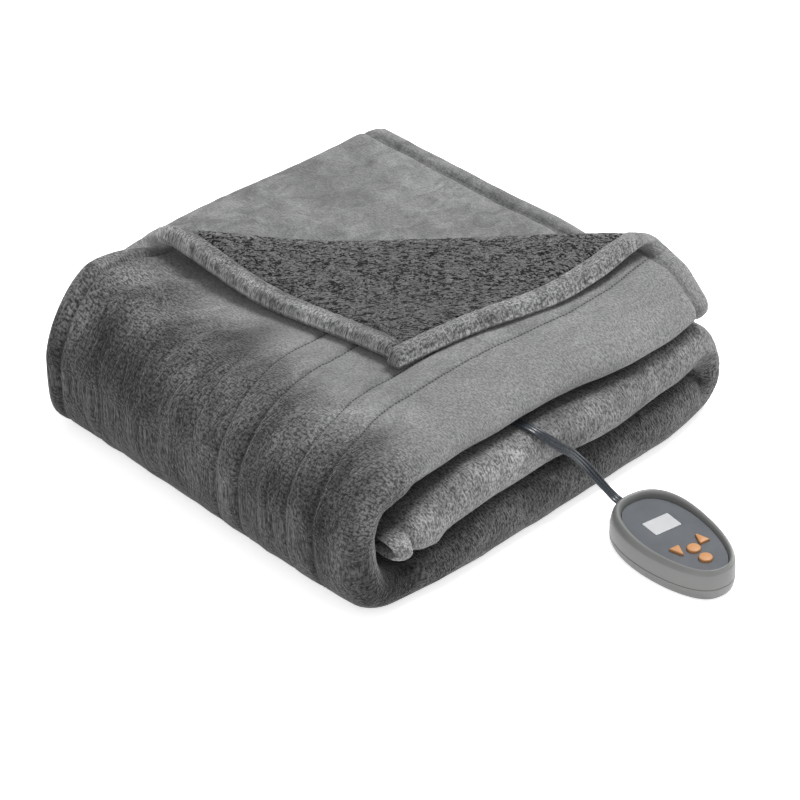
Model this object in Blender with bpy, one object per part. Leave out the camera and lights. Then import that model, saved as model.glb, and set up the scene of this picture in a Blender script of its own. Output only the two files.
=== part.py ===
"""Heated throw, folded in thirds both ways, with a hand controller on a flat cord.

Frame: millimetres in the sizes below, metres in the scene, +Z up.  +X runs along the folded
strips, +Y across them towards the back, and the origin is on the floor under the middle of
the folded throw.

The throw is two cloths, a plush face and a curly pile back.  Each starts as a flat pattern
that is scored where the cloth bends, and folded() then carries every point of it to its place:
first across the width (top layer, front fold, bottom layer, back fold, middle layer), then
along the length (top strip, left fold, bottom strip, right fold, middle strip).
"""
from math import copysign, cos, exp, pi, radians, sin, sqrt

import bmesh
import bpy
from mathutils import Vector

MM = 0.001
COLLECTION = "folded_heated_throw"

# ---- cloth, in millimetres ----
PLUSH = 5.0
SHERPA = 8.2
SKIN_GAP = 0.3
LAYER_GAP = 2.0
CLOTH = PLUSH + SHERPA
HEM = 20.0
HEM_LINES = (8.0, 16.0, HEM)
# the hem's rounded outer edge, as shares of the cloths' thicknesses
EDGE_BELOW = 0.72
EDGE_ABOVE = 0.25
SCORE_SNAP = 1.2

# ---- folds across the width: three layers make one strip ----
STRIP = 3 * CLOTH + 2 * LAYER_GAP
TOP_SEAM = STRIP - PLUSH
BOTTOM_SEAM = PLUSH
MIDDLE_SEAM = PLUSH + 2 * SHERPA + LAYER_GAP
FRONT_RADIUS = (TOP_SEAM - BOTTOM_SEAM) / 2
BACK_RADIUS = (MIDDLE_SEAM - BOTTOM_SEAM) / 2
FOLDED_WIDTH = 464.0
FLAT_WIDTH = 1270.0
FRONT_AXIS = FRONT_RADIUS + PLUSH
BACK_AXIS = FOLDED_WIDTH - BACK_RADIUS - PLUSH
TOP_HEM = 425.0
TOP_RUN = TOP_HEM - FRONT_AXIS
BOTTOM_RUN = BACK_AXIS - FRONT_AXIS
MIDDLE_RUN = FLAT_WIDTH - TOP_RUN - BOTTOM_RUN - pi * (FRONT_RADIUS + BACK_RADIUS)

# (kind, length of cloth, pieces that it is scored into), from the top layer's hem
ACROSS = (
    ("top", TOP_RUN, 5),
    ("front fold", pi * FRONT_RADIUS, 5),
    ("bottom", BOTTOM_RUN, 4),
    ("back fold", pi * BACK_RADIUS, 4),
    ("middle", MIDDLE_RUN, 4),
)

# ---- folds along the length: three strips lie on each other ----
STRIP_END = 399.0
RIGHT_AXIS = 371.0
MIDDLE_END = 6.0
MIDDLE_END_FRONT = -33.0
END_PINCH = 0.24
END_PINCH_RUN = 50.0
LEFT_REACH = 58.5
LEFT_REACH_FRONT = 77.0
LEFT_HOLLOW = 24.0
LEFT_HOLLOW_FRONT = 42.0
HOLLOW_UNTIL = 200.0
RIGHT_REACH = 47.0
RIGHT_HOLLOW = 1.5
LEFT_FOLD = pi * (LEFT_REACH + LEFT_HOLLOW) / 2
RIGHT_FOLD = pi * (RIGHT_REACH + RIGHT_HOLLOW) / 2
MIDDLE_STRIP = RIGHT_AXIS - MIDDLE_END
BOTTOM_START = STRIP_END + LEFT_FOLD
FLAT_LENGTH = BOTTOM_START + RIGHT_AXIS + RIGHT_FOLD + MIDDLE_STRIP
ALONG = (
    ("top", STRIP_END, 6),
    ("left fold", LEFT_FOLD, 10),
    ("bottom", RIGHT_AXIS, 5),
    ("right fold", RIGHT_FOLD, 6),
    ("middle", MIDDLE_STRIP, 4),
)

# Heights of each strip's underside and top: inside the stack, at its front edge, and at the
# front edge's left end.  The last column is how far the front edge is set back.
STRIPS = {
    # strip: (low, high, front low, front high, left low, left high, set back)
    "top": (2 * STRIP + 4.0, 3 * STRIP + 4.0, 103.0, 130.5, 101.0, 128.0, 22.0),
    "middle": (STRIP + 2.0, 2 * STRIP + 2.0, 51.0, 98.0, 36.5, 79.0, 2.0),
    "bottom": (0.0, STRIP, 0.0, 48.5, 0.0, 32.5, 3.0),
}
# changes of the set-back along a strip: (how much, from where along it, to where)
SET_BACK_CHANGES = {
    "top": ((-15.0, 170.0, 300.0), (9.0, 330.0, 400.0)),
    "middle": ((-7.0, 160.0, 250.0), (7.0, 250.0, 340.0), (8.0, 340.0, 400.0)),
    "bottom": ((-9.0, -50.0, 80.0), (12.0, 310.0, 410.0)),
}
LEFT_END_FROM = 85.0
LEFT_END_TO = -20.0
HEEL_RISE = 14.0
HEEL_BELOW = 0.4
HEEL_BACK = (280.0, 430.0)
HEEL_RIGHT = (120.0, 360.0)
EDGE_FROM = 25.0
EDGE_TO = 160.0
SET_BACK_FADE = (20.0, 260.0)
TOP_ROUNDNESS = 1.6
TOP_ROUNDNESS_FRONT = 2.1
FLOOR_ROUNDNESS_LEFT = 4.0
FLOOR_ROUNDNESS_RIGHT = 3.0

# ---- corner of the top layer, turned back along a diagonal ----
DIAGONAL = 479.0 / sqrt(2)
LOOP_RADIUS = 12.0
LOOP_HALF_SPAN = 245.0
FLAP_TAKE_UP = 0.87
FLAP_SETTLE = 90.0
FLAP_SEAM = 2 * PLUSH + LAYER_GAP
LOOP_SHIFT = 17.0
LOOP_SHIFT_FROM = (120.0, 420.0)
ARCH_LEFT = (9.0, -3.0)
ARCH_RIGHT = (1.0, 1.0)
ARCH_RUN = 75.0
UNCOVERED_RISE = 9.0
UNCOVERED_RISE_FROM = (8.0, 75.0)
CORNER_REACH = 25.0
CORNER_REACH_FROM = (0.0, 65.0)
CORNER_BACK = 12.0
CORNER_BACK_FROM = (200.0, 420.0)
FAR_CORNER_ROUND = 11.0
FAR_CORNER_FROM = (BACK_AXIS - 30.0, FOLDED_WIDTH)
FAR_CORNER_TO = (-12.0, 30.0)
UNDER_DRAW = 10.0
UNDER_DRAW_FROM = (TOP_RUN + 20.0, TOP_RUN + 90.0)
UNDER_DRAW_TO = (560.0, 860.0)
INNER_NECK = 13.0
INNER_NECK_AT = 392.0
INNER_NECK_SPAN = 62.0
INNER_NECK_FROM = (BACK_AXIS - 90.0, FOLDED_WIDTH)
CORNER_FOLD = 365.0
CORNER_ROWS = (TOP_HEM - 74.0, TOP_HEM - 46.0)

# ---- the outer layer drifts back round the left fold, so its hem covers the layers within ----
HEM_DRIFT = 19.0
DRIFT_FROM = (320.0, 400.0)
DRIFT_TO = (480.0, 620.0)
CORNER_SCORES = (0.0, 8.0, 16.0, 24.0, 32.0, 40.0, 52.0, 72.0, 100.0, 135.0)

# ---- place of the throw over the origin ----
MIDDLE_X = 175.0
MIDDLE_Y = 230.0

# ---- hand controller ----
CONTROL_X = 195.0
CONTROL_Y = -123.1
CONTROL_TURN = radians(-100.2)
BODY_LENGTH = 140.0
BODY_WIDTH = 84.0
BODY_HEIGHT = 36.0
SIDE_SHARE = 0.8
RIM_DROP = 3.5
RIM_DROP_FROM = (-58.0, 10.0)
RIM_DROP_HEIGHT = (27.0, 34.0)
BLUNT = 0.8
TAPER = 0.14
PARTING = 12.8
FIT = 0.3
OVAL_SIDES = 40
PANEL_INSET = 9.5
PANEL_FLOOR = 25.2
PANEL_THICK = 3.4
# ring of the lower shell: (how far it is drawn in, height)
BASE_RINGS = ((6.5, 0.0), (3.0, 1.5), (0.6, 5.0), (-0.4, 9.0), (-0.6, PARTING - FIT))
# ring of the upper shell, up the wall, over the rim and down into the recess
BEZEL_RINGS = ((-0.6, PARTING), (-0.3, 20.0), (0.5, 27.0), (1.8, 32.0), (3.6, 35.0),
               (5.4, BODY_HEIGHT), (7.2, 35.0), (8.5, 32.0), (9.2, PANEL_FLOOR))
DISPLAY_X = -19.8
DISPLAY_LONG = 29.6
DISPLAY_SHORT = 21.2
DISPLAY_SUNK = 0.6
BUTTON_TRAVEL = 0.8
BUTTON_RISE = 2.2
BUTTON_ROUND = 13.0
BUTTON_SIDES = 28
BUTTON_SOFT = 0.7
ARROW_BASE = 11.5
ARROW_HEIGHT = 14.5
ARROW_ROUND = 1.2
ARROW_GROW = 3.4
CUT_PAST = 3.0
# button: (place along the controller, place across it, turn of an arrow, or None if round)
BUTTONS = {
    "button_down": (20.2, -14.2, -90.0),
    "button_up": (20.2, 14.2, 90.0),
    "button_middle": (26.6, 0.0, None),
    "button_power": (43.7, 0.0, None),
}
GROMMET_HEIGHT = 18.5
GROMMET_SIDES = 16
GROMMET_SQUARE = 0.5
# ring of the strain relief: (how far out from the body's end, width, height)
GROMMET_RINGS = ((0.9, 14.0, 7.5), (3.0, 13.0, 6.6), (5.5, 11.0, 4.8))

# ---- flat cord ----
CORD_WIDTH = 10.0
CORD_THICK = 3.0
CORD_SIDES = 10
CORD_SQUARE = 0.6
CORD_STEP = 8.0
# the cord rolls to lie along the middle strip's front edge, and is level again at both ends
CORD_ROLL = radians(45)
CORD_LEVEL_ABOVE = (88.0, 100.0)
CORD_LEVEL_BELOW = (24.0, 46.0)
# (x, y, z) from the gap between the top and the middle strip to the controller
CORD_ROUTE = (
    (147.0, 50.0, 99.5),
    (149.5, 29.0, 100.4),
    (152.5, 14.5, 98.6),
    (158.0, 3.5, 91.8),
    (168.0, -4.0, 81.0),
    (181.0, -8.5, 69.0),
    (193.0, -13.0, 53.0),
    (201.0, -19.5, 39.0),
    (205.8, -28.0, 28.0),
    (208.2, -38.0, 20.5),
    (208.1, -47.4, 18.5),
)


def ease(x, start, end):
    """Smooth step from 0 at start to 1 at end."""
    t = min(max((x - start) / (end - start), 0.0), 1.0)
    return t * t * (3 - 2 * t)


def clear_scene():
    for old in list(bpy.data.objects):
        bpy.data.objects.remove(old, do_unlink=True)


def make_collection(name):
    collection = bpy.data.collections.new(name)
    bpy.context.scene.collection.children.link(collection)
    return collection


def material(name, color, roughness, metallic=0.0):
    made = bpy.data.materials.new(name)
    made.use_nodes = True
    shader = made.node_tree.nodes["Principled BSDF"]
    shader.inputs["Base Color"].default_value = (*color, 1)
    shader.inputs["Roughness"].default_value = roughness
    shader.inputs["Metallic"].default_value = metallic
    return made


# ---------------------------------------------------------------- folding the cloth

def across(b, lift):
    """Place (v, w) in a strip's section: b from the top hem, lift from the seam to the plush."""
    if b <= TOP_RUN:
        return TOP_HEM - b, TOP_SEAM + lift
    b -= TOP_RUN
    if b <= pi * FRONT_RADIUS:
        turn = b / FRONT_RADIUS
        reach = FRONT_RADIUS + lift
        return FRONT_AXIS - reach * sin(turn), (TOP_SEAM + BOTTOM_SEAM) / 2 + reach * cos(turn)
    b -= pi * FRONT_RADIUS
    if b <= BOTTOM_RUN:
        return FRONT_AXIS + b, BOTTOM_SEAM - lift
    b -= BOTTOM_RUN
    if b <= pi * BACK_RADIUS:
        turn = b / BACK_RADIUS
        reach = BACK_RADIUS + lift
        return BACK_AXIS + reach * sin(turn), (MIDDLE_SEAM + BOTTOM_SEAM) / 2 - reach * cos(turn)
    b -= pi * BACK_RADIUS
    return BACK_AXIS - b, MIDDLE_SEAM + lift


def heights(strip, u, v):
    """Underside and top of a strip at (u, v), thinner or thicker towards the front edge."""
    low, high, front_low, front_high, left_low, left_high, _ = STRIPS[strip]
    edge = 1 - ease(v, EDGE_FROM, EDGE_TO)
    left = 1 - ease(u, LEFT_END_TO, LEFT_END_FROM)
    front_low += (left_low - front_low) * left
    front_high += (left_high - front_high) * left
    heel = 0.0
    if strip == "top":
        heel = HEEL_RISE * ease(v, *HEEL_BACK) * (1 - ease(u, *HEEL_RIGHT))
    return low + (front_low - low) * edge + HEEL_BELOW * heel, high + (front_high - high) * edge + heel


def set_back(strip, u):
    """How far a strip's front edge lies behind the front plane, at u along it."""
    changes = SET_BACK_CHANGES[strip]
    return STRIPS[strip][-1] + sum(much * ease(u, start, end) for much, start, end in changes)


def from_front(v, front, inside, until):
    """Size that goes from its value at the front edge to its value inside the stack."""
    return front + (inside - front) * ease(v, EDGE_FROM, until)


def bent(turn, v, axis, side, reach, top, bottom):
    """Point of a fold's outer or inner curve, from its top (turn 0) to its foot (turn pi)."""
    roundness = FLOOR_ROUNDNESS_LEFT if side < 0 else FLOOR_ROUNDNESS_RIGHT
    if cos(turn) > 0:
        roundness = from_front(v, TOP_ROUNDNESS_FRONT, TOP_ROUNDNESS, FOLDED_WIDTH)
    out = reach * max(sin(turn), 0.0) ** (2 / roundness)
    up = copysign(abs(cos(turn)) ** (2 / roundness), cos(turn))
    return axis + side * out, (top + bottom) / 2 + up * (top - bottom) / 2


def along(a, v, w):
    """Place (x, z) and set-back of the point at height w in the strip, a from the top end."""
    share = w / STRIP
    if a <= STRIP_END:
        u = STRIP_END - a
        low, high = heights("top", u, v)
        return u, low + (high - low) * share, set_back("top", u)
    a -= STRIP_END
    if a <= LEFT_FOLD:
        return fold_point(pi * a / LEFT_FOLD, "top", v, share)
    a -= LEFT_FOLD
    if a <= RIGHT_AXIS:
        low, high = heights("bottom", a, v)
        return a, high + (low - high) * share, set_back("bottom", a)
    a -= RIGHT_AXIS
    if a <= RIGHT_FOLD:
        return fold_point(pi * (1 - a / RIGHT_FOLD), "middle", v, share)
    a -= RIGHT_FOLD
    end = from_front(v, MIDDLE_END_FRONT, MIDDLE_END, HOLLOW_UNTIL)
    u = RIGHT_AXIS - a * (RIGHT_AXIS - end) / MIDDLE_STRIP
    low, high = heights("middle", u, v)
    pinch = END_PINCH * (high - low) * (1 - ease(u, end, end + END_PINCH_RUN))
    return u, low + pinch + (high - low - 2 * pinch) * share, set_back("middle", u)


def fold_point(turn, strip, v, share):
    """Place (x, z) and set-back in the left fold (of the top strip) or the right fold."""
    if strip == "top":
        axis, side = 0.0, -1
        reach = from_front(v, LEFT_REACH_FRONT, LEFT_REACH, FOLDED_WIDTH)
        hollow = from_front(v, LEFT_HOLLOW_FRONT, LEFT_HOLLOW, HOLLOW_UNTIL)
    else:
        axis, side = RIGHT_AXIS, 1
        reach, hollow = RIGHT_REACH, RIGHT_HOLLOW
    upper_low, upper_high = heights(strip, axis, v)
    floor_low, floor_high = heights("bottom", axis, v)
    outer = bent(turn, v, axis, side, reach, upper_high, floor_low)
    inner = bent(turn, v, axis, side, hollow, upper_low, floor_high)
    mix = ease(turn, 0, pi)
    back = set_back(strip, outer[0]) * (1 - mix) + set_back("bottom", outer[0]) * mix
    return (inner[0] + (outer[0] - inner[0]) * share,
            inner[1] + (outer[1] - inner[1]) * share, back)


def loop_shift(v):
    """How far the turned-back corner's fold lies to the left, more towards the back hem."""
    return LOOP_SHIFT * ease(v, *LOOP_SHIFT_FROM)


def past_diagonal(u, v):
    return (u + loop_shift(v) + v) / sqrt(2) - DIAGONAL


def arched(u, v):
    """Height of the arch and the loop's extra radius, both only near the corner's hems."""
    aside = (v - u - (TOP_HEM - STRIP_END)) / sqrt(2) / LOOP_HALF_SPAN
    near_hem = min(abs(aside), 1.0) ** 3
    arch, opening = ARCH_RIGHT if aside < 0 else ARCH_LEFT
    return arch * near_hem * ease(past_diagonal(u, v), -ARCH_RUN, 0), opening * near_hem


def turned_back(u, v, lift):
    """Top layer's corner beyond the diagonal: up, over a soft loop and down on the layer."""
    past = past_diagonal(u, v)
    arch, opening = arched(u, v)
    if past <= 0:
        return u, v, lift + arch
    radius = LOOP_RADIUS + opening
    turn = past / radius
    if turn < pi:
        shift = (radius - lift) * sin(turn)
        rise = arch + radius - (radius - lift) * cos(turn)
    else:
        run = (past - pi * radius) * FLAP_TAKE_UP
        shift = -run
        rise = FLAP_SEAM - lift + (arch + 2 * radius - FLAP_SEAM) * (1 - ease(run, 0, FLAP_SETTLE))
    move = (shift - past) / sqrt(2)
    return u + loop_shift(v) + move - loop_shift(v + move), v + move, rise


def corner_slide(v):
    """How far the top layer's end stands back from STRIP_END, at v across it."""
    return (loop_shift(v) + CORNER_BACK * ease(v, *CORNER_BACK_FROM)
            - CORNER_REACH * ease(v, *CORNER_REACH_FROM))


def folded(a, b, lift):
    """Point of the folded throw for the flat cloth's point (a, b), lift towards the plush."""
    v, w = across(b, lift)
    if b <= TOP_RUN:
        v += HEM_DRIFT * (1 - b / TOP_RUN) * ease(a, *DRIFT_FROM) * (1 - ease(a, *DRIFT_TO))
    if b <= TOP_RUN and a <= STRIP_END:
        slide = corner_slide(v) * (1 - a / STRIP_END)
        u, v, rise = turned_back(STRIP_END - a - slide, v, lift)
        a = STRIP_END - u
        w = TOP_SEAM + rise
    elif b <= TOP_RUN and a <= BOTTOM_START:
        w += arched(STRIP_END - a, v)[0]
    elif a <= STRIP_END:
        drawn_in = UNDER_DRAW * ease(b, *UNDER_DRAW_FROM) * (1 - ease(b, *UNDER_DRAW_TO))
        drawn_in += corner_slide(v) * (1 - ease(b, TOP_RUN, TOP_RUN + pi * FRONT_RADIUS))
        a += drawn_in * (1 - a / STRIP_END)
        w += UNCOVERED_RISE * (w / MIDDLE_SEAM) * ease(past_diagonal(STRIP_END - a, v), *UNCOVERED_RISE_FROM)
    x, z, back = along(a, v, w)
    y = v + back * (1 - ease(v, *SET_BACK_FADE))
    if a < STRIP_END:
        y -= FAR_CORNER_ROUND * (1 - ease(a, *FAR_CORNER_TO)) * ease(v, *FAR_CORNER_FROM)
    if b > TOP_RUN and a < BOTTOM_START:
        neck = exp(-((a - INNER_NECK_AT) / INNER_NECK_SPAN) ** 2)
        y -= INNER_NECK * neck * ease(v, *INNER_NECK_FROM)
    return Vector((x - MIDDLE_X, y - MIDDLE_Y, z)) * MM


# ---------------------------------------------------------------- flat pattern

def scores(rows, total):
    """Lines across the cloth: the hems', and the pieces of each run and fold."""
    lines = set(HEM_LINES) | {total - line for line in HEM_LINES}
    start = 0.0
    for _, length, pieces in rows:
        for i in range(pieces):
            line = start + length * i / pieces
            if HEM + 6 < line < total - HEM - 6:
                lines.add(line)
        start += length
    return sorted(lines)


def cut_along(bm, point, direction):
    bmesh.ops.bisect_plane(bm, geom=bm.verts[:] + bm.edges[:] + bm.faces[:], dist=SCORE_SNAP,
                           plane_co=point, plane_no=direction)


def flat_pattern():
    """The flat cloth in its own millimetres, scored along its hems, folds and corner."""
    bm = bmesh.new()
    bmesh.ops.create_grid(bm, x_segments=1, y_segments=1, size=0.5)
    for vert in bm.verts:
        vert.co = Vector(((vert.co.x + 0.5) * FLAT_LENGTH, (vert.co.y + 0.5) * FLAT_WIDTH, 0))
    for line in scores(ALONG, FLAT_LENGTH):
        cut_along(bm, (line, 0, 0), (1, 0, 0))
    for line in (*scores(ACROSS, FLAT_WIDTH), *CORNER_ROWS):
        cut_along(bm, (0, line, 0), (0, 1, 0))
    for past in CORNER_SCORES:
        cut_along(bm, (CORNER_FOLD - past * sqrt(2), 0, 0), (1, 1, 0))
    bmesh.ops.triangulate(bm, faces=bm.faces[:])
    return bm


def edge_distance(a, b):
    return min(a, FLAT_LENGTH - a, b, FLAT_WIDTH - b)


def plush_lifts(a, b):
    """Underside and pile top of the plush: the hem wraps it round the curly pile's edge."""
    edge = edge_distance(a, b)
    if edge < 1:
        return -EDGE_BELOW * SHERPA, EDGE_ABOVE * PLUSH
    if edge < HEM - 1:
        return -SHERPA, PLUSH
    return 0.0, PLUSH


def sherpa_lifts(a, b):
    return -SHERPA, -SKIN_GAP


def ply(name, inset, lifts, look, collection):
    """One cloth: a flat slab of the pattern, each point of which is carried to its fold."""
    bm = flat_pattern()
    outside = [face for face in bm.faces if edge_distance(*face.calc_center_median().xy) < inset]
    bmesh.ops.delete(bm, geom=outside, context="FACES")
    raised = bmesh.ops.extrude_face_region(bm, geom=bm.faces[:], use_keep_orig=True)
    for vert in raised["geom"]:
        if isinstance(vert, bmesh.types.BMVert):
            vert.co.z = 1
    bmesh.ops.recalc_face_normals(bm, faces=bm.faces[:])
    margin = inset + 2 * SKIN_GAP if inset else 0.0
    for vert in bm.verts:
        a = min(max(vert.co.x, margin), FLAT_LENGTH - margin)
        b = min(max(vert.co.y, margin), FLAT_WIDTH - margin)
        low, high = lifts(a, b)
        vert.co = folded(a, b, high if vert.co.z > 0.5 else low)
    mesh = bpy.data.meshes.new(name)
    bm.to_mesh(mesh)
    bm.free()
    mesh.materials.append(look)
    mesh.shade_smooth()
    made = bpy.data.objects.new(name, mesh)
    collection.objects.link(made)
    return made


# ---------------------------------------------------------------- hand controller

def oval(inset, z):
    """Ring of the controller's egg outline, blunt at the cord's end, drawn in by inset."""
    ring = []
    for i in range(OVAL_SIDES):
        t = 2 * pi * i / OVAL_SIDES
        x = (BODY_LENGTH / 2 - SIDE_SHARE * inset) * cos(t) + (1 - SIDE_SHARE) * inset
        side = copysign(abs(sin(t)) ** BLUNT, sin(t))
        y = (BODY_WIDTH / 2 - inset) * side * (1 - TAPER * cos(t))
        drop = RIM_DROP * ease(x, *RIM_DROP_FROM) * ease(z, *RIM_DROP_HEIGHT)
        ring.append((x * MM, y * MM, (z - drop) * MM))
    return ring


def loft(name, rings, look, collection, parent):
    """Closed body through rings of equal length, capped at both ends."""
    bm = bmesh.new()
    loops = [[bm.verts.new(point) for point in ring] for ring in rings]
    for lower, upper in zip(loops, loops[1:]):
        for i in range(len(lower)):
            j = (i + 1) % len(lower)
            bm.faces.new((lower[i], lower[j], upper[j], upper[i]))
    bm.faces.new(list(reversed(loops[0])))
    bm.faces.new(loops[-1])
    return place(name, bm, look, collection, parent)


def place(name, bm, look, collection, parent, where=(0, 0, 0)):
    """Make an object of a bmesh, parented and set at a place in millimetres."""
    mesh = bpy.data.meshes.new(name)
    bm.to_mesh(mesh)
    bm.free()
    mesh.materials.append(look)
    mesh.shade_smooth()
    mesh.set_sharp_from_angle(angle=radians(40))
    made = bpy.data.objects.new(name, mesh)
    made.parent = parent
    made.location = Vector(where) * MM
    collection.objects.link(made)
    return made


def controller_base(look, collection, parent):
    rings = [oval(inset, z) for inset, z in BASE_RINGS]
    return loft("controller_base", rings, look, collection, parent)


def controller_bezel(look, collection, parent):
    """Upper shell: wall, round rim and the recess that the panel lies in."""
    rings = [oval(inset, z) for inset, z in BEZEL_RINGS]
    return loft("controller_bezel", rings, look, collection, parent)


def button_body(name, low, high, soften, grow, look, collection, parent):
    """Disc or arrow that stands on the button's place, larger all round by grow."""
    x, y, arrow_turn = BUTTONS[name.removeprefix("cut_")]
    sides = BUTTON_SIDES if arrow_turn is None else 3
    bm = bmesh.new()
    bmesh.ops.create_cone(bm, cap_ends=True, segments=sides, radius1=1, radius2=1,
                          depth=(high - low) * MM)
    if arrow_turn is None:
        wide = tall = BUTTON_ROUND / 2 + grow
    else:
        wide = (ARROW_BASE + ARROW_GROW * grow) / sqrt(3)
        tall = (ARROW_HEIGHT + ARROW_GROW * grow) / 1.5
    bmesh.ops.scale(bm, vec=(wide * MM, tall * MM, 1), verts=bm.verts[:])
    if arrow_turn is not None:
        upright = [edge for edge in bm.edges if abs(edge.verts[0].co.z - edge.verts[1].co.z) > MM]
        bmesh.ops.bevel(bm, geom=upright, offset=ARROW_ROUND * MM, segments=3, profile=0.5,
                        affect="EDGES")
    if soften:
        rim = [edge for edge in bm.edges if all(vert.co.z > 0 for vert in edge.verts)]
        bmesh.ops.bevel(bm, geom=rim, offset=soften * MM, segments=2, profile=0.5,
                        affect="EDGES")
    made = place(name, bm, look, collection, parent, (x, y, (low + high) / 2))
    made.rotation_euler.z = radians(arrow_turn or 0)
    return made


def controller_buttons(look, collection, parent):
    low = PANEL_FLOOR + BUTTON_TRAVEL + 2 * FIT
    high = PANEL_FLOOR + FIT + PANEL_THICK + BUTTON_RISE
    for name in BUTTONS:
        button_body(name, low, high, BUTTON_SOFT, 0, look, collection, parent)


def controller_panel(look, collection, cutters, parent):
    """Dark plate in the recess, with a hole for each button and for the display."""
    low = PANEL_FLOOR + FIT
    top = low + PANEL_THICK
    rings = [oval(PANEL_INSET, low), oval(PANEL_INSET, top)]
    panel = loft("controller_panel", rings, look, collection, parent)
    holes = [box("cut_display", DISPLAY_SHORT + 2 * FIT, DISPLAY_LONG + 2 * FIT,
                 low - CUT_PAST, top + CUT_PAST, None, cutters, parent, (DISPLAY_X, 0))]
    for name in BUTTONS:
        holes.append(button_body("cut_" + name, low - CUT_PAST, top + CUT_PAST, 0, FIT,
                                 None, cutters, parent))
    for hole in holes:
        hole.hide_render = True
        hole.display_type = "WIRE"
        cut = panel.modifiers.new(hole.name, "BOOLEAN")
        cut.operation = "DIFFERENCE"
        cut.object = hole
    return panel


def box(name, long, wide, low, high, look, collection, parent, where):
    bm = bmesh.new()
    bmesh.ops.create_cube(bm, size=1.0)
    bmesh.ops.scale(bm, vec=(long * MM, wide * MM, (high - low) * MM), verts=bm.verts[:])
    x, y = where
    return place(name, bm, look, collection, parent, (x, y, (low + high) / 2))


def cord_grommet(look, collection, parent):
    """Flat strain relief that tapers from the body's end towards the cord."""
    rings = []
    for out, wide, tall in GROMMET_RINGS:
        ring = []
        for i in range(GROMMET_SIDES):
            t = 2 * pi * i / GROMMET_SIDES
            across_it = copysign(abs(cos(t)) ** GROMMET_SQUARE, cos(t)) * wide / 2
            up = copysign(abs(sin(t)) ** GROMMET_SQUARE, sin(t)) * tall / 2
            x = -BODY_LENGTH / 2 - out
            ring.append((x * MM, -across_it * MM, (GROMMET_HEIGHT + up) * MM))
        rings.append(ring)
    return loft("cord_grommet", rings, look, collection, parent)


# ---------------------------------------------------------------- cord

def smooth_route(points, step):
    """Points about step apart on a smooth curve through the route's own points."""
    padded = [2 * points[0] - points[1], *points, 2 * points[-1] - points[-2]]
    route = []
    for before, start, end, after in zip(padded, padded[1:], padded[2:], padded[3:]):
        count = max(round((end - start).length / step), 1)
        for i in range(count):
            t = i / count
            route.append(0.5 * (2 * start + (end - before) * t
                                + (2 * before - 5 * start + 4 * end - after) * t ** 2
                                + (3 * start - before - 3 * end + after) * t ** 3))
    return route + [points[-1]]


def cord_roll(z):
    """Roll of the cord at height z: none between the strips and none at the controller."""
    return CORD_ROLL * (1 - ease(z, *CORD_LEVEL_ABOVE)) * ease(z, *CORD_LEVEL_BELOW)


def cord_section(collection):
    """Flat oval that the cord's curve carries along; a guide and no piece of its own."""
    section = bpy.data.curves.new("cord_section", "CURVE")
    section.dimensions = "2D"
    outline = section.splines.new("POLY")
    outline.points.add(CORD_SIDES - 1)
    for i, point in enumerate(outline.points):
        t = -2 * pi * i / CORD_SIDES
        x = copysign(abs(cos(t)) ** CORD_SQUARE, cos(t)) * CORD_WIDTH / 2
        y = copysign(abs(sin(t)) ** CORD_SQUARE, sin(t)) * CORD_THICK / 2
        point.co = (x * MM, y * MM, 0, 1)
    outline.use_cyclic_u = True
    guide = bpy.data.objects.new("cord_section", section)
    guide.hide_render = True
    guide.display_type = "WIRE"
    collection.objects.link(guide)
    return guide


def flat_cord(look, collection, guides):
    """Cord on its route: a curve with the flat section, its ends filled."""
    curve = bpy.data.curves.new("cord", "CURVE")
    curve.dimensions = "3D"
    curve.bevel_mode = "OBJECT"
    curve.bevel_object = cord_section(guides)
    curve.use_fill_caps = True
    curve.twist_mode = "Z_UP"
    route = smooth_route([Vector(place) for place in CORD_ROUTE], CORD_STEP)
    line = curve.splines.new("POLY")
    line.points.add(len(route) - 1)
    for point, spot in zip(line.points, route):
        point.co = ((spot.x - MIDDLE_X) * MM, (spot.y - MIDDLE_Y) * MM, spot.z * MM, 1)
        point.tilt = cord_roll(spot.z)
    curve.materials.append(look)
    made = bpy.data.objects.new("cord", curve)
    collection.objects.link(made)
    return made


def main():
    clear_scene()
    parts = make_collection(COLLECTION)
    guides = make_collection("guides")
    plush_look = material("grey plush", (0.21, 0.21, 0.21), 0.95)
    sherpa_look = material("grey curly pile", (0.13, 0.13, 0.13), 1.0)
    shell_look = material("warm grey shell", (0.33, 0.34, 0.32), 0.45)
    panel_look = material("slate panel", (0.09, 0.10, 0.11), 0.6)
    display_look = material("pale display", (0.72, 0.73, 0.73), 0.3)
    button_look = material("orange buttons", (0.80, 0.36, 0.14), 0.5)
    cord_look = material("slate cord", (0.09, 0.11, 0.13), 0.5)

    ply("plush_face", 0, plush_lifts, plush_look, parts)
    ply("sherpa_back", HEM, sherpa_lifts, sherpa_look, parts)

    spot = bpy.data.objects.new("controller_place", None)
    spot.location = Vector((CONTROL_X - MIDDLE_X, CONTROL_Y - MIDDLE_Y, 0)) * MM
    spot.rotation_euler.z = CONTROL_TURN
    parts.objects.link(spot)
    controller_base(shell_look, parts, spot)
    controller_bezel(shell_look, parts, spot)
    controller_panel(panel_look, parts, guides, spot)
    low = PANEL_FLOOR + FIT
    box("display_window", DISPLAY_SHORT, DISPLAY_LONG, low, low + PANEL_THICK - DISPLAY_SUNK,
        display_look, parts, spot, (DISPLAY_X, 0))
    controller_buttons(button_look, parts, spot)
    cord_grommet(cord_look, parts, spot)
    flat_cord(cord_look, parts, guides)


main()
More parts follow.
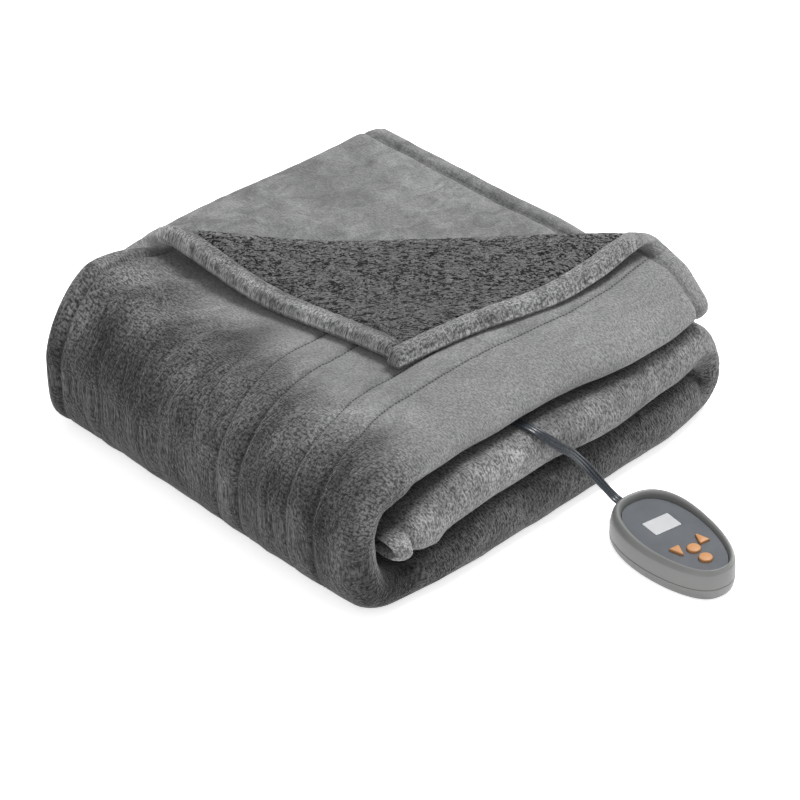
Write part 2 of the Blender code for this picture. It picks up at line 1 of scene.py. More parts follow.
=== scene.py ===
# %% [markdown]
# # A folded heated throw with its hand controller
#
# The throw is two cloths that are folded together: three layers across make a strip, and
# three strips lie on each other.  One corner of the top layer is turned back.  Every point
# of the flat cloth (a, b) goes through the same chain of folds as in the solid model, so the
# fine cloth here lies exactly where its solid lies.
#
# Sizes below are millimetres.  The scene is in metres, with +Z up.

# %% Tools
from math import copysign, cos, exp, pi, radians, sin, sqrt

import bpy
from mathutils import Matrix, Vector, noise


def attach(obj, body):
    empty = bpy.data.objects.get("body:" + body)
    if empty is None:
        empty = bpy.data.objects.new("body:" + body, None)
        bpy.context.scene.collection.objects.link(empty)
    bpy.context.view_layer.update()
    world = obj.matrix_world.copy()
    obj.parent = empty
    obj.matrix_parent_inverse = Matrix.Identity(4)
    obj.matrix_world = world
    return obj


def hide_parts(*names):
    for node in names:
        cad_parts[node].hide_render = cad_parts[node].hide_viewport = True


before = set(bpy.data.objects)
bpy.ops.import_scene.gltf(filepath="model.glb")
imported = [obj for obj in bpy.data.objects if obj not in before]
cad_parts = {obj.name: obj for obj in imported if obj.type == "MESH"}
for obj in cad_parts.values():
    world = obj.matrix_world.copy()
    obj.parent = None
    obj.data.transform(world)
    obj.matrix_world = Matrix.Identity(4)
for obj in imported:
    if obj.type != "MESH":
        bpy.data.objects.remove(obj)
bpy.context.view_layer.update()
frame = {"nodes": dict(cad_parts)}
print("nodes:", ", ".join(frame["nodes"]))

MM = 0.001
scene = bpy.context.scene
pieces = bpy.data.collections.new("throw_pieces")
scene.collection.children.link(pieces)

# %% [markdown]
# ## The camera
#
# A folded throw is a low box, so it is looked at from above one corner.  A long lens keeps
# the parallel folds parallel.  The camera is set first, because everything else is judged
# through it.

# %% Camera
VIEW_YAW = radians(44.29)
VIEW_PITCH = radians(34.77)
VIEW_DISTANCE = 4.0945
VIEW_TARGET = Vector((-0.0354, -0.0594, 0.0620))

camera_data = bpy.data.cameras.new("camera")
camera_data.lens = 198
camera_data.sensor_width = 36
camera_data.clip_end = 50
camera = bpy.data.objects.new("camera", camera_data)
scene.collection.objects.link(camera)
looking = Vector((cos(VIEW_YAW) * cos(VIEW_PITCH), sin(VIEW_YAW) * cos(VIEW_PITCH), -sin(VIEW_PITCH)))
camera.location = VIEW_TARGET - looking * VIEW_DISTANCE
camera.rotation_euler = looking.to_track_quat("-Z", "Y").to_euler()
scene.camera = camera
print("camera at", tuple(round(x, 3) for x in camera.location))

# %% [markdown]
# ## A mesh from points
#
# A mesh can be written straight from lists of points and faces.  Every piece here is made at
# the origin with its place in its points, so patterns on Object coordinates stay put.

# %% Mesh of a piece
def mesh_piece(name, points, faces, look, sharp=None):
    """Object from points in millimetres; sharp is the angle in degrees that stays an edge."""
    mesh = bpy.data.meshes.new(name)
    mesh.from_pydata([Vector(point) * MM for point in points], [], faces)
    mesh.materials.append(look)
    mesh.shade_smooth()
    if sharp:
        mesh.set_sharp_from_angle(angle=radians(sharp))
    made = bpy.data.objects.new(name, mesh)
    pieces.objects.link(made)
    return made


print("pieces go into the collection", pieces.name)

# %% [markdown]
# ## Wiring a material
#
# A finish is a net of small nodes: places on the surface, patterns over those places, ranges
# of a pattern, and colours and bumps made from them.  Adding each by hand takes five lines,
# so a few helpers take the lines up, and a finish then reads as a recipe.

# %% Nodes of a material
def new_look(name, color, roughness, sheen=0.0):
    """Material with one colour and roughness all over, to be wired further."""
    look = bpy.data.materials.new(name)
    look.use_nodes = True
    look.diffuse_color = (*color, 1)
    shader = look.node_tree.nodes["Principled BSDF"]
    shader.inputs["Base Color"].default_value = (*color, 1)
    shader.inputs["Roughness"].default_value = roughness
    shader.inputs["Sheen Weight"].default_value = sheen
    return look


def wired(tree, kind, settings=None, **inputs):
    """Add a node.  An input is i0, i1 ... or a name, and takes a value or another socket."""
    made = tree.nodes.new(kind)
    for key, value in (settings or {}).items():
        setattr(made, key, value)
    for key, value in inputs.items():
        numbered = key[0] == "i" and key[1:].isdigit()
        socket = made.inputs[int(key[1:]) if numbered else key]
        if isinstance(value, bpy.types.NodeSocket):
            tree.links.new(value, socket)
        else:
            socket.default_value = value
    return made


def node(look, kind, settings=None, **inputs):
    return wired(look.node_tree, kind, settings, **inputs)


def into_shader(look, name, socket):
    shader = look.node_tree.nodes["Principled BSDF"]
    look.node_tree.links.new(socket, shader.inputs[name])


print("helpers for nodes are ready")

# %% Patterns, colours and bumps
def stretched(look, source, along_it, across_it, turn=0.0):
    """Flat places, scaled along the cloth and across it, then turned."""
    return node(look, "ShaderNodeMapping", Vector=source, Scale=(along_it, across_it, 1),
                Rotation=(0, 0, turn)).outputs["Vector"]


def grain(look, vector, scale, detail=3.0, roughness=0.55, distortion=0.0):
    """Noise of about 0.3 to 0.7; scale is its number of lumps in a metre."""
    return node(look, "ShaderNodeTexNoise", Vector=vector, Scale=scale, Detail=detail,
                Roughness=roughness, Distortion=distortion).outputs["Fac"]


def ranged(look, value, low, high, to_low, to_high, way="LINEAR"):
    """Value from the range (low, high) in the range (to_low, to_high), and no further."""
    return node(look, "ShaderNodeMapRange", {"interpolation_type": way}, i0=value, i1=low, i2=high,
                i3=to_low, i4=to_high).outputs["Result"]


def sums(look, operation, first, second):
    return node(look, "ShaderNodeMath", {"operation": operation}, i0=first, i1=second).outputs["Value"]


def cloth_value(look, name):
    """Value that the cloth keeps at each of its points."""
    return node(look, "ShaderNodeAttribute", {"attribute_name": name}).outputs["Fac"]


def blended(look, share, first, second):
    """Mix of two colours, each a tuple or a socket."""
    mixer = node(look, "ShaderNodeMix", {"data_type": "RGBA"}, i0=share)
    for index, value in ((6, first), (7, second)):
        if isinstance(value, bpy.types.NodeSocket):
            look.node_tree.links.new(value, mixer.inputs[index])
        else:
            mixer.inputs[index].default_value = (*value, 1)
    return mixer.outputs[2]


def darkened(look, color, *amounts):
    """Colour times one or more grey amounts."""
    for amount in amounts:
        mixer = node(look, "ShaderNodeMix", {"data_type": "RGBA", "blend_type": "MULTIPLY"}, i0=1.0)
        look.node_tree.links.new(color, mixer.inputs[6])
        look.node_tree.links.new(amount, mixer.inputs[7])
        color = mixer.outputs[2]
    return color


def bumped(look, height, distance, below=None, strength=1.0):
    """Normal of a height pattern in metres, over another normal or the bare surface."""
    inputs = {"Height": height, "Distance": distance, "Strength": strength}
    if below is not None:
        inputs["Normal"] = below
    return node(look, "ShaderNodeBump", **inputs).outputs["Normal"]


print("helpers for patterns are ready")

# %% [markdown]
# ## The plush's finish
#
# Plush is a short dense pile.  Where a hand has brushed it one way it is light, and where it
# lies the other way it is dark, so it looks cloudy.  Broad noise makes those clouds, and fine
# noise that is stretched along the pile makes the fibres.  The pattern follows the flat
# cloth, whose own places are kept in the UV map.

# %% Plush
# noise: (scale along the cloth, scale across it, detail, roughness, distortion)
CLOUDS = (13, 8, 5, 0.66, 0.5)
BLOTCHES = (38, 52, 4, 0.7, 0.9)
STROKES = (760, 190, 2, 0.6, 0.0)
SPECKS = (560, 460, 2, 0.6, 0.0)
# range of a noise that counts, and the shades that it stands for: (low, high, dark, light)
CLOUD_SHADES = (0.34, 0.66, 0.58, 1.42)
BLOTCH_SHADES = (0.34, 0.66, 0.5, 1.5)
STROKE_SHADES = (0.37, 0.54, 0.25, 1.22)
SPECK_SHADES = (0.37, 0.54, 0.25, 1.25)
BRUSHED_SHADE = 0.95
BRUSHED_GREY = (0.182, 0.184, 0.186)
RUFFLED_GREY = (0.186, 0.187, 0.189)
BLOTCH_DEPTH = 0.007
FIBRE_DEPTH = 0.0016
BRUSHED_DEPTH = 0.25


def pile_noise(look, flat, pattern):
    along_it, across_it, detail, roughness, distortion = pattern
    return grain(look, stretched(look, flat, along_it, across_it), 1.0, detail, roughness, distortion)


def plush_finish():
    look = new_look("grey plush", (0.18, 0.18, 0.18), 0.95, sheen=0.25)
    shader = look.node_tree.nodes["Principled BSDF"]
    shader.inputs["Sheen Roughness"].default_value = 0.4
    shader.inputs["Specular IOR Level"].default_value = 0.12
    flat = node(look, "ShaderNodeUVMap", {"uv_map": "cloth"}).outputs["UV"]
    clouds, blotches, strokes, specks = (pile_noise(look, flat, pattern)
                                         for pattern in (CLOUDS, BLOTCHES, STROKES, SPECKS))
    ruffle = cloth_value(look, "ruffle")
    marks = sums(look, "MULTIPLY", ranged(look, clouds, *CLOUD_SHADES),
                 ranged(look, blotches, *BLOTCH_SHADES))
    marks = ranged(look, cloth_value(look, "cloudy"), 0.0, 1.0, 1.0, marks)
    fibres = sums(look, "MULTIPLY", ranged(look, strokes, *STROKE_SHADES),
                  ranged(look, specks, *SPECK_SHADES))
    fibres = ranged(look, ruffle, 0.0, 1.0, BRUSHED_SHADE, fibres)
    color = blended(look, ruffle, BRUSHED_GREY, RUFFLED_GREY)
    # tone and seam darken the colour: the pile's lie, and painted shade under overhangs, on shaded folds and
    # in seams
    into_shader(look, "Base Color", darkened(look, color, marks, fibres, cloth_value(look, "tone"),
                                             cloth_value(look, "seam")))
    lift = ranged(look, ruffle, 0.0, 1.0, BRUSHED_DEPTH, 1.0)
    nap = bumped(look, blotches, BLOTCH_DEPTH, None, lift)
    for pattern in (strokes, specks):
        nap = bumped(look, pattern, FIBRE_DEPTH, nap, lift)
    into_shader(look, "Normal", nap)
    return look


plush_look = plush_finish()
print("plush:", len(plush_look.node_tree.nodes), "nodes")

# %% [markdown]
# ## The curly pile's finish
#
# The back of the throw is a curly pile: small matt lumps with short creases between them.  The lumps lie in
# rows along the turned-back fold, so a noise that is stretched that way makes them.  Where it runs high
# there is a crease, bumped in and painted near black as shade, and a finer noise frays its sides.  The
# lumps' paler tops and darker hollows are painted shade too.

# %% Curly pile
CURLS_PER_METRE = (170, 340)
CURL_TURN = radians(45)
OPEN_PER_METRE = 45
OPEN_SHARE = (0.35, 0.65, -0.02, 0.035)
CREASE_SHARE = (0.50, 0.57, 0.0, 1.0)
CURL_GREY = (0.182, 0.183, 0.185)
CREASE_SHADOW_GREY = (0.005, 0.005, 0.006)
CURL_PAINTED_SHADES = (0.0, 1.0, 0.8, 1.1)
FUZZ_PER_METRE = 620
FUZZ_SHADES = (0.3, 0.7, 0.55, 1.4)
FUZZ_DEPTH = 0.001
CREASE_DEPTH = 0.012


def curly_finish():
    look = new_look("grey curly pile", (0.11, 0.11, 0.11), 1.0, sheen=0.15)
    look.node_tree.nodes["Principled BSDF"].inputs["Specular IOR Level"].default_value = 0.05
    flat = node(look, "ShaderNodeUVMap", {"uv_map": "cloth"}).outputs["UV"]
    turned = stretched(look, flat, 1, 1, CURL_TURN)
    curls = grain(look, stretched(look, turned, *CURLS_PER_METRE), 1.0, 3, 0.5, distortion=1.5)
    open_here = ranged(look, grain(look, flat, OPEN_PER_METRE, detail=2), *OPEN_SHARE)
    height = sums(look, "ADD", curls, open_here)
    crease = ranged(look, height, *CREASE_SHARE, way="SMOOTHSTEP")
    fuzz = grain(look, flat, FUZZ_PER_METRE)
    # painted shadow: the creases between the curls are near black
    color = blended(look, crease, CURL_GREY, CREASE_SHADOW_GREY)
    # painted shade: lumps lighter, hollows darker
    painted_lump_shade = ranged(look, cloth_value(look, "curl_shade"), *CURL_PAINTED_SHADES)
    into_shader(look, "Base Color", darkened(look, color, painted_lump_shade, ranged(look, fuzz, *FUZZ_SHADES)))
    deep = bumped(look, sums(look, "SUBTRACT", 1.0, height), CREASE_DEPTH)
    into_shader(look, "Normal", bumped(look, fuzz, FUZZ_DEPTH, deep))
    return look


curly_look = curly_finish()
print("curly pile:", len(curly_look.node_tree.nodes), "nodes")

# %% [markdown]
# ## Thread, cord and the controller's plastics
#
# The shell is a moulded warm grey with a very fine grain.  The panel is slate with a coarser
# texture, the buttons are matt orange rubber, and the cord is ribbed slate rubber.

# %% Hard finishes
CLOUDS_PER_METRE = 35
MIDDLE_OF_NOISE = (0.3, 0.7)


def moulded(name, color, roughness, grain_scale, grain_depth, variation=0.06):
    """Moulded plastic or rubber: nearly even colour, with a fine grain in its surface."""
    look = new_look(name, color, roughness)
    place = node(look, "ShaderNodeTexCoord").outputs["Object"]
    shade = ranged(look, grain(look, place, CLOUDS_PER_METRE, detail=2), *MIDDLE_OF_NOISE, 0.0, 1.0)
    dark, pale = (tuple(c * (1 + change) for c in color) for change in (-variation, variation))
    into_shader(look, "Base Color", blended(look, shade, dark, pale))
    into_shader(look, "Roughness", ranged(look, grain(look, place, grain_scale), *MIDDLE_OF_NOISE,
                                          roughness - 0.06, roughness + 0.08))
    into_shader(look, "Normal", bumped(look, grain(look, place, grain_scale * 2), grain_depth))
    return look


thread_look = moulded("dark thread", (0.035, 0.035, 0.036), 0.8, 900, 0.0001)
shell_look = moulded("warm grey shell", (0.143, 0.147, 0.142), 0.42, 900, 0.00004, 0.03)
panel_look = moulded("slate panel", (0.066, 0.072, 0.082), 0.5, 1100, 0.00012, 0.12)
display_look = moulded("pale display", (0.42, 0.425, 0.435), 0.22, 60, 0.00001, 0.03)
button_look = moulded("orange rubber", (0.42, 0.200, 0.078), 0.5, 1200, 0.00005, 0.05)
cord_look = moulded("slate cord", (0.020, 0.025, 0.031), 0.28, 700, 0.00004)
hard_looks = (thread_look, shell_look, panel_look, display_look, button_look, cord_look)
print("hard finishes:", ", ".join(look.name for look in hard_looks))

# %% [markdown]
# ## The cord
#
# The cord is a flat three-rib lead.  It leaves the gap between the top and the middle strip,
# hangs over the middle strip's edge in one soft curve, and ends in the controller's strain
# relief.  Its section is carried along the route: a ring of points at each step.

# %% Route of the cord
# the middle of the folded throw stands over the origin
MIDDLE_X = 175.0
MIDDLE_Y = 230.0

CORD_WIDTH = 10.0
CORD_THICK = 3.0
# (x, y, z) from the gap between the top and the middle strip to the controller
CORD_ROUTE = (
    (147.0, 50.0, 99.5),
    (149.5, 29.0, 100.4),
    (152.5, 14.5, 98.6),
    (158.0, 3.5, 91.8),
    (168.0, -4.0, 81.0),
    (181.0, -8.5, 69.0),
    (193.0, -13.0, 53.0),
    (201.0, -19.5, 39.0),
    (205.8, -28.0, 28.0),
    (208.2, -38.0, 20.5),
    (208.1, -47.4, 18.5),
)


def ease(x, start, end):
    """Smooth step from 0 at start to 1 at end."""
    t = min(max((x - start) / (end - start), 0.0), 1.0)
    return t * t * (3 - 2 * t)


def smooth_route(points, step):
    """Points about step apart on a smooth curve through the route's own points."""
    padded = [2 * points[0] - points[1], *points, 2 * points[-1] - points[-2]]
    route = []
    for before, start, end, after in zip(padded, padded[1:], padded[2:], padded[3:]):
        count = max(round((end - start).length / step), 1)
        for i in range(count):
            t = i / count
            route.append(0.5 * (2 * start + (end - before) * t
                                + (2 * before - 5 * start + 4 * end - after) * t ** 2
                                + (3 * start - before - 3 * end + after) * t ** 3))
    return route + [points[-1]]


cord_route = [spot - Vector((MIDDLE_X, MIDDLE_Y, 0))
              for spot in smooth_route([Vector(place) for place in CORD_ROUTE], 2.5)]

# %% Section of the cord
RING_POINTS = 96
CORD_SQUARE = 0.6
# places of the grooves on each face, as shares of the half width
GROOVES_AT = (-1 / 3, 1 / 3)
GROOVE_HALF = 0.15
GROOVE_DEPTH = 1.0
FLAT_FROM = 0.2


def squared(turn, power):
    """Point on a unit circle that is drawn out towards a square's corners."""
    return copysign(abs(cos(turn)) ** power, cos(turn)), copysign(abs(sin(turn)) ** power, sin(turn))


def ribbed_ring(width, thick):
    """Section across the cord: a flat oval with grooves along both faces."""
    ring = []
    for i in range(RING_POINTS):
        x, y = squared(2 * pi * i / RING_POINTS, CORD_SQUARE)
        y *= thick / 2
        groove = max(exp(-((x - place) / GROOVE_HALF) ** 2) for place in GROOVES_AT)
        ring.append((x * width / 2, y - copysign(GROOVE_DEPTH * groove, y) * (abs(y) > FLAT_FROM)))
    return ring


print("section:", len(ribbed_ring(CORD_WIDTH, CORD_THICK)), "points")

# %% Ribbed cord
# the cord rolls to lie along the middle strip's front edge, and is level again at both ends
CORD_ROLL = radians(45)
CORD_LEVEL_ABOVE = (88.0, 100.0)
CORD_LEVEL_BELOW = (24.0, 46.0)
CORD_SHARP_EDGE = 50


def cord_roll(z):
    """Roll of the cord at height z: none between the strips and none at the controller."""
    return CORD_ROLL * (1 - ease(z, *CORD_LEVEL_ABOVE)) * ease(z, *CORD_LEVEL_BELOW)


def carried_along(route, ring):
    """The section at each point of the route, its wide side level but for the cord's roll."""
    rings = []
    for i, spot in enumerate(route):
        ahead = (route[min(i + 1, len(route) - 1)] - route[max(i - 1, 0)]).normalized()
        side = ahead.cross(Vector((0, 0, 1))).normalized()
        above = side.cross(ahead)
        roll = cord_roll(spot.z)
        side, above = side * cos(roll) - above * sin(roll), above * cos(roll) + side * sin(roll)
        rings.append([spot + side * x + above * y for x, y in ring])
    return rings


def closed_tube(name, rings, look, sharp):
    """Closed body through rings of equal length, capped at both ends."""
    count = len(rings[0])
    points = [point for ring in rings for point in ring]
    faces = []
    for start in range(0, len(points) - count, count):
        for j in range(count):
            k = (j + 1) % count
            faces.append((start + j, start + k, start + count + k, start + count + j))
    faces += [tuple(reversed(range(count))), tuple(range(len(points) - count, len(points)))]
    return mesh_piece(name, points, faces, look, sharp)


def declare(made, body, node_name):
    """Ride on a body and stand for a node of the solid model, whose own piece is hidden."""
    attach(made, body)
    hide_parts(node_name)


cord_rings = carried_along(cord_route, ribbed_ring(CORD_WIDTH, CORD_THICK))
cord = closed_tube("ribbed_cord", cord_rings, cord_look, CORD_SHARP_EDGE)
declare(cord, "throw", "cord")
print(f"cord: {len(cord.data.polygons)} faces")

# %% [markdown]
# ## The folds
#
# A real throw is folded twice, and so is this one.  A point of the flat cloth is a along its
# length, b across it, and lift above the seam between the two cloths.  across() bends the
# width into the three layers of a strip, as a hand folds a towel in thirds.

# %% Layers of one strip
# thicknesses of the two cloths, and the gaps between them and between the layers
PLUSH = 5.0
SHERPA = 8.2
SKIN_GAP = 0.3
LAYER_GAP = 2.0
CLOTH = PLUSH + SHERPA
HEM = 20.0
# heights in a strip of the seam between the two cloths, in each of its three layers
STRIP = 3 * CLOTH + 2 * LAYER_GAP
TOP_SEAM = STRIP - PLUSH
BOTTOM_SEAM = PLUSH
MIDDLE_SEAM = PLUSH + 2 * SHERPA + LAYER_GAP
# the front fold joins the top and bottom layers, and the back fold the bottom and middle ones
FRONT_RADIUS = (TOP_SEAM - BOTTOM_SEAM) / 2
BACK_RADIUS = (MIDDLE_SEAM - BOTTOM_SEAM) / 2
FOLDED_WIDTH = 464.0
FLAT_WIDTH = 1270.0
FRONT_AXIS = FRONT_RADIUS + PLUSH
BACK_AXIS = FOLDED_WIDTH - BACK_RADIUS - PLUSH
TOP_HEM = 425.0
TOP_RUN = TOP_HEM - FRONT_AXIS
BOTTOM_RUN = BACK_AXIS - FRONT_AXIS


def across(b, lift):
    """Place (v, w) in a strip's section: b from the top hem, lift from the seam to the plush."""
    if b <= TOP_RUN:
        return TOP_HEM - b, TOP_SEAM + lift
    b -= TOP_RUN
    if b <= pi * FRONT_RADIUS:
        turn = b / FRONT_RADIUS
        reach = FRONT_RADIUS + lift
        return FRONT_AXIS - reach * sin(turn), (TOP_SEAM + BOTTOM_SEAM) / 2 + reach * cos(turn)
    b -= pi * FRONT_RADIUS
    if b <= BOTTOM_RUN:
        return FRONT_AXIS + b, BOTTOM_SEAM - lift
    b -= BOTTOM_RUN
    if b <= pi * BACK_RADIUS:
        turn = b / BACK_RADIUS
        reach = BACK_RADIUS + lift
        return BACK_AXIS + reach * sin(turn), (MIDDLE_SEAM + BOTTOM_SEAM) / 2 - reach * cos(turn)
    b -= pi * BACK_RADIUS
    return BACK_AXIS - b, MIDDLE_SEAM + lift


print(f"one strip: {FOLDED_WIDTH:.0f} mm wide, {STRIP:.1f} mm thick")

# %% [markdown]
# ## The stack of strips
#
# The strips are pressed flat inside the stack and puff up at its front, so heights() gives
# each strip's underside and top from place to place.  The folds between them are rounded
# boxes, which bent() draws, and they are softer above than on the floor.

# %% Lengths of the strips
# places along the folded throw, from the left fold's axis
STRIP_END = 399.0
RIGHT_AXIS = 371.0
MIDDLE_END = 6.0
MIDDLE_END_FRONT = -33.0
END_PINCH = 0.24
END_PINCH_RUN = 50.0
# how far a fold's outer and inner curve reach out from its axis
LEFT_REACH = 58.5
LEFT_REACH_FRONT = 77.0
LEFT_HOLLOW = 24.0
LEFT_HOLLOW_FRONT = 42.0
HOLLOW_UNTIL = 200.0
RIGHT_REACH = 47.0
RIGHT_HOLLOW = 1.5
# lengths of the flat cloth in each fold, and where the strips start on it
LEFT_FOLD = pi * (LEFT_REACH + LEFT_HOLLOW) / 2
RIGHT_FOLD = pi * (RIGHT_REACH + RIGHT_HOLLOW) / 2
MIDDLE_STRIP = RIGHT_AXIS - MIDDLE_END
BOTTOM_START = STRIP_END + LEFT_FOLD
MIDDLE_START = BOTTOM_START + RIGHT_AXIS + RIGHT_FOLD
FLAT_LENGTH = MIDDLE_START + MIDDLE_STRIP
print(f"flat cloth: {FLAT_WIDTH:.0f} x {FLAT_LENGTH:.0f} mm")

# %% Heights and set-back of the strips
# heights inside the stack, at its front edge, and at the front edge's left end; the last
# column is how far the front edge is set back
STRIPS = {
    # strip: (low, high, front low, front high, left low, left high, set back)
    "top": (2 * STRIP + 4.0, 3 * STRIP + 4.0, 103.0, 130.5, 101.0, 128.0, 22.0),
    "middle": (STRIP + 2.0, 2 * STRIP + 2.0, 51.0, 98.0, 36.5, 79.0, 2.0),
    "bottom": (0.0, STRIP, 0.0, 48.5, 0.0, 32.5, 3.0),
}
# changes of the set-back along a strip: (how much, from where along it, to where)
SET_BACK_CHANGES = {
    "top": ((-15.0, 170.0, 300.0), (9.0, 330.0, 400.0)),
    "middle": ((-7.0, 160.0, 250.0), (7.0, 250.0, 340.0), (8.0, 340.0, 400.0)),
    "bottom": ((-9.0, -50.0, 80.0), (12.0, 310.0, 410.0)),
}
LEFT_END_FROM = 85.0
LEFT_END_TO = -20.0
# the top strip rises a little towards the far end of the left fold
HEEL_RISE = 14.0
HEEL_BELOW = 0.4
HEEL_BACK = (280.0, 430.0)
HEEL_RIGHT = (120.0, 360.0)
EDGE_FROM = 25.0
EDGE_TO = 160.0


def heights(strip, u, v):
    """Underside and top of a strip at (u, v), thinner or thicker towards the front edge."""
    low, high, front_low, front_high, left_low, left_high, _ = STRIPS[strip]
    edge = 1 - ease(v, EDGE_FROM, EDGE_TO)
    left = 1 - ease(u, LEFT_END_TO, LEFT_END_FROM)
    front_low += (left_low - front_low) * left
    front_high += (left_high - front_high) * left
    heel = 0.0
    if strip == "top":
        heel = HEEL_RISE * ease(v, *HEEL_BACK) * (1 - ease(u, *HEEL_RIGHT))
    return low + (front_low - low) * edge + HEEL_BELOW * heel, high + (front_high - high) * edge + heel


def set_back(strip, u):
    """How far a strip's front edge lies behind the front plane, at u along it."""
    changes = SET_BACK_CHANGES[strip]
    return STRIPS[strip][-1] + sum(much * ease(u, start, end) for much, start, end in changes)


print("front edge of the top strip, mm high:", [round(x) for x in heights("top", 0, 0)])

# %% Left and right fold
# 2 is an ellipse, and more is closer to a box
TOP_ROUNDNESS = 1.6
TOP_ROUNDNESS_FRONT = 2.1
FLOOR_ROUNDNESS_LEFT = 4.0
FLOOR_ROUNDNESS_RIGHT = 3.0


def from_front(v, front, inside, until):
    """Size that goes from its value at the front edge to its value inside the stack."""
    return front + (inside - front) * ease(v, EDGE_FROM, until)


def bent(turn, v, axis, side, reach, top, bottom):
    """Point of a fold's outer or inner curve, from its top (turn 0) to its foot (turn pi)."""
    roundness = FLOOR_ROUNDNESS_LEFT if side < 0 else FLOOR_ROUNDNESS_RIGHT
    if cos(turn) > 0:
        roundness = from_front(v, TOP_ROUNDNESS_FRONT, TOP_ROUNDNESS, FOLDED_WIDTH)
    out = reach * max(sin(turn), 0.0) ** (2 / roundness)
    up = copysign(abs(cos(turn)) ** (2 / roundness), cos(turn))
    return axis + side * out, (top + bottom) / 2 + up * (top - bottom) / 2


def fold_point(turn, strip, v, share):
    """Place (x, z) and set-back in the left fold (of the top strip) or the right fold."""
    if strip == "top":
        axis, side = 0.0, -1
        reach = from_front(v, LEFT_REACH_FRONT, LEFT_REACH, FOLDED_WIDTH)
        hollow = from_front(v, LEFT_HOLLOW_FRONT, LEFT_HOLLOW, HOLLOW_UNTIL)
    else:
        axis, side = RIGHT_AXIS, 1
        reach, hollow = RIGHT_REACH, RIGHT_HOLLOW
    upper_low, upper_high = heights(strip, axis, v)
    floor_low, floor_high = heights("bottom", axis, v)
    outer = bent(turn, v, axis, side, reach, upper_high, floor_low)
    inner = bent(turn, v, axis, side, hollow, upper_low, floor_high)
    mix = ease(turn, 0, pi)
    back = set_back(strip, outer[0]) * (1 - mix) + set_back("bottom", outer[0]) * mix
    return (inner[0] + (outer[0] - inner[0]) * share,
            inner[1] + (outer[1] - inner[1]) * share, back)


print("left fold reaches", round(-fold_point(pi / 2, "top", 0, 1)[0]), "mm out at the front")

# %% Strips and folds along the length
def along(a, v, w):
    """Place (x, z) and set-back of the point at height w in the strip, a from the top end."""
    share = w / STRIP
    if a <= STRIP_END:
        u = STRIP_END - a
        low, high = heights("top", u, v)
        return u, low + (high - low) * share, set_back("top", u)
    a -= STRIP_END
    if a <= LEFT_FOLD:
        return fold_point(pi * a / LEFT_FOLD, "top", v, share)
    a -= LEFT_FOLD
    if a <= RIGHT_AXIS:
        low, high = heights("bottom", a, v)
        return a, high + (low - high) * share, set_back("bottom", a)
    a -= RIGHT_AXIS
    if a <= RIGHT_FOLD:
        return fold_point(pi * (1 - a / RIGHT_FOLD), "middle", v, share)
    a -= RIGHT_FOLD
    end = from_front(v, MIDDLE_END_FRONT, MIDDLE_END, HOLLOW_UNTIL)
    u = RIGHT_AXIS - a * (RIGHT_AXIS - end) / MIDDLE_STRIP
    low, high = heights("middle", u, v)
    pinch = END_PINCH * (high - low) * (1 - ease(u, end, end + END_PINCH_RUN))
    return u, low + pinch + (high - low - 2 * pinch) * share, set_back("middle", u)


print("height of the middle strip's right end:", round(along(MIDDLE_START, 200, STRIP)[1]), "mm")

# %% [markdown]
# ## The turned-back corner
#
# The top layer's free corner is folded back along a diagonal.  Cloth this thick doesn't
# crease there: it rises over a soft loop, and lies down again on the layer further on.

# %% Corner over its loop
# the fold runs along a diagonal, over a loop of this radius near the middle of its length
DIAGONAL = 479.0 / sqrt(2)
LOOP_RADIUS = 12.0
# from the middle of the loop to a hem
LOOP_HALF_SPAN = 245.0
# share of the corner's length that shows, as the loop takes up the rest
FLAP_TAKE_UP = 0.87
FLAP_SETTLE = 90.0
FLAP_SEAM = 2 * PLUSH + LAYER_GAP
LOOP_SHIFT = 17.0
LOOP_SHIFT_FROM = (120.0, 420.0)
# height of the arch and extra radius of the loop, at the left hem and at the right hem
ARCH_LEFT = (9.0, -3.0)
ARCH_RIGHT = (1.0, 1.0)
ARCH_RUN = 75.0
# the end hem reaches out at the front, and stands back at the far end
CORNER_REACH = 25.0
CORNER_REACH_FROM = (0.0, 65.0)
CORNER_BACK = 12.0
CORNER_BACK_FROM = (200.0, 420.0)


def loop_shift(v):
    """How far the turned-back corner's fold lies to the left, more towards the back hem."""
    return LOOP_SHIFT * ease(v, *LOOP_SHIFT_FROM)


def past_diagonal(u, v):
    return (u + loop_shift(v) + v) / sqrt(2) - DIAGONAL


def arched(u, v):
    """Height of the arch and the loop's extra radius, both only near the corner's hems."""
    aside = (v - u - (TOP_HEM - STRIP_END)) / sqrt(2) / LOOP_HALF_SPAN
    near_hem = min(abs(aside), 1.0) ** 3
    arch, opening = ARCH_RIGHT if aside < 0 else ARCH_LEFT
    return arch * near_hem * ease(past_diagonal(u, v), -ARCH_RUN, 0), opening * near_hem


def turned_back(u, v, lift):
    """Top layer's corner beyond the diagonal: up, over a soft loop and down on the layer."""
    past = past_diagonal(u, v)
    arch, opening = arched(u, v)
    if past <= 0:
        return u, v, lift + arch
    radius = LOOP_RADIUS + opening
    turn = past / radius
    if turn < pi:
        shift = (radius - lift) * sin(turn)
        rise = arch + radius - (radius - lift) * cos(turn)
    else:
        run = (past - pi * radius) * FLAP_TAKE_UP
        shift = -run
        rise = FLAP_SEAM - lift + (arch + 2 * radius - FLAP_SEAM) * (1 - ease(run, 0, FLAP_SETTLE))
    move = (shift - past) / sqrt(2)
    return u + loop_shift(v) + move - loop_shift(v + move), v + move, rise


def corner_slide(v):
    """How far the top layer's end stands back from STRIP_END, at v across it."""
    return (loop_shift(v) + CORNER_BACK * ease(v, *CORNER_BACK_FROM)
            - CORNER_REACH * ease(v, *CORNER_REACH_FROM))


print("corner's tip, mm along, across and up:", [round(x) for x in turned_back(STRIP_END, TOP_HEM, 0)])

# %% [markdown]
# ## The whole fold
#
# folded() runs a point through both folds.  It also draws the hidden layers in a little and
# lets the outer layer drift round the left fold, so that its hem covers the layers within.

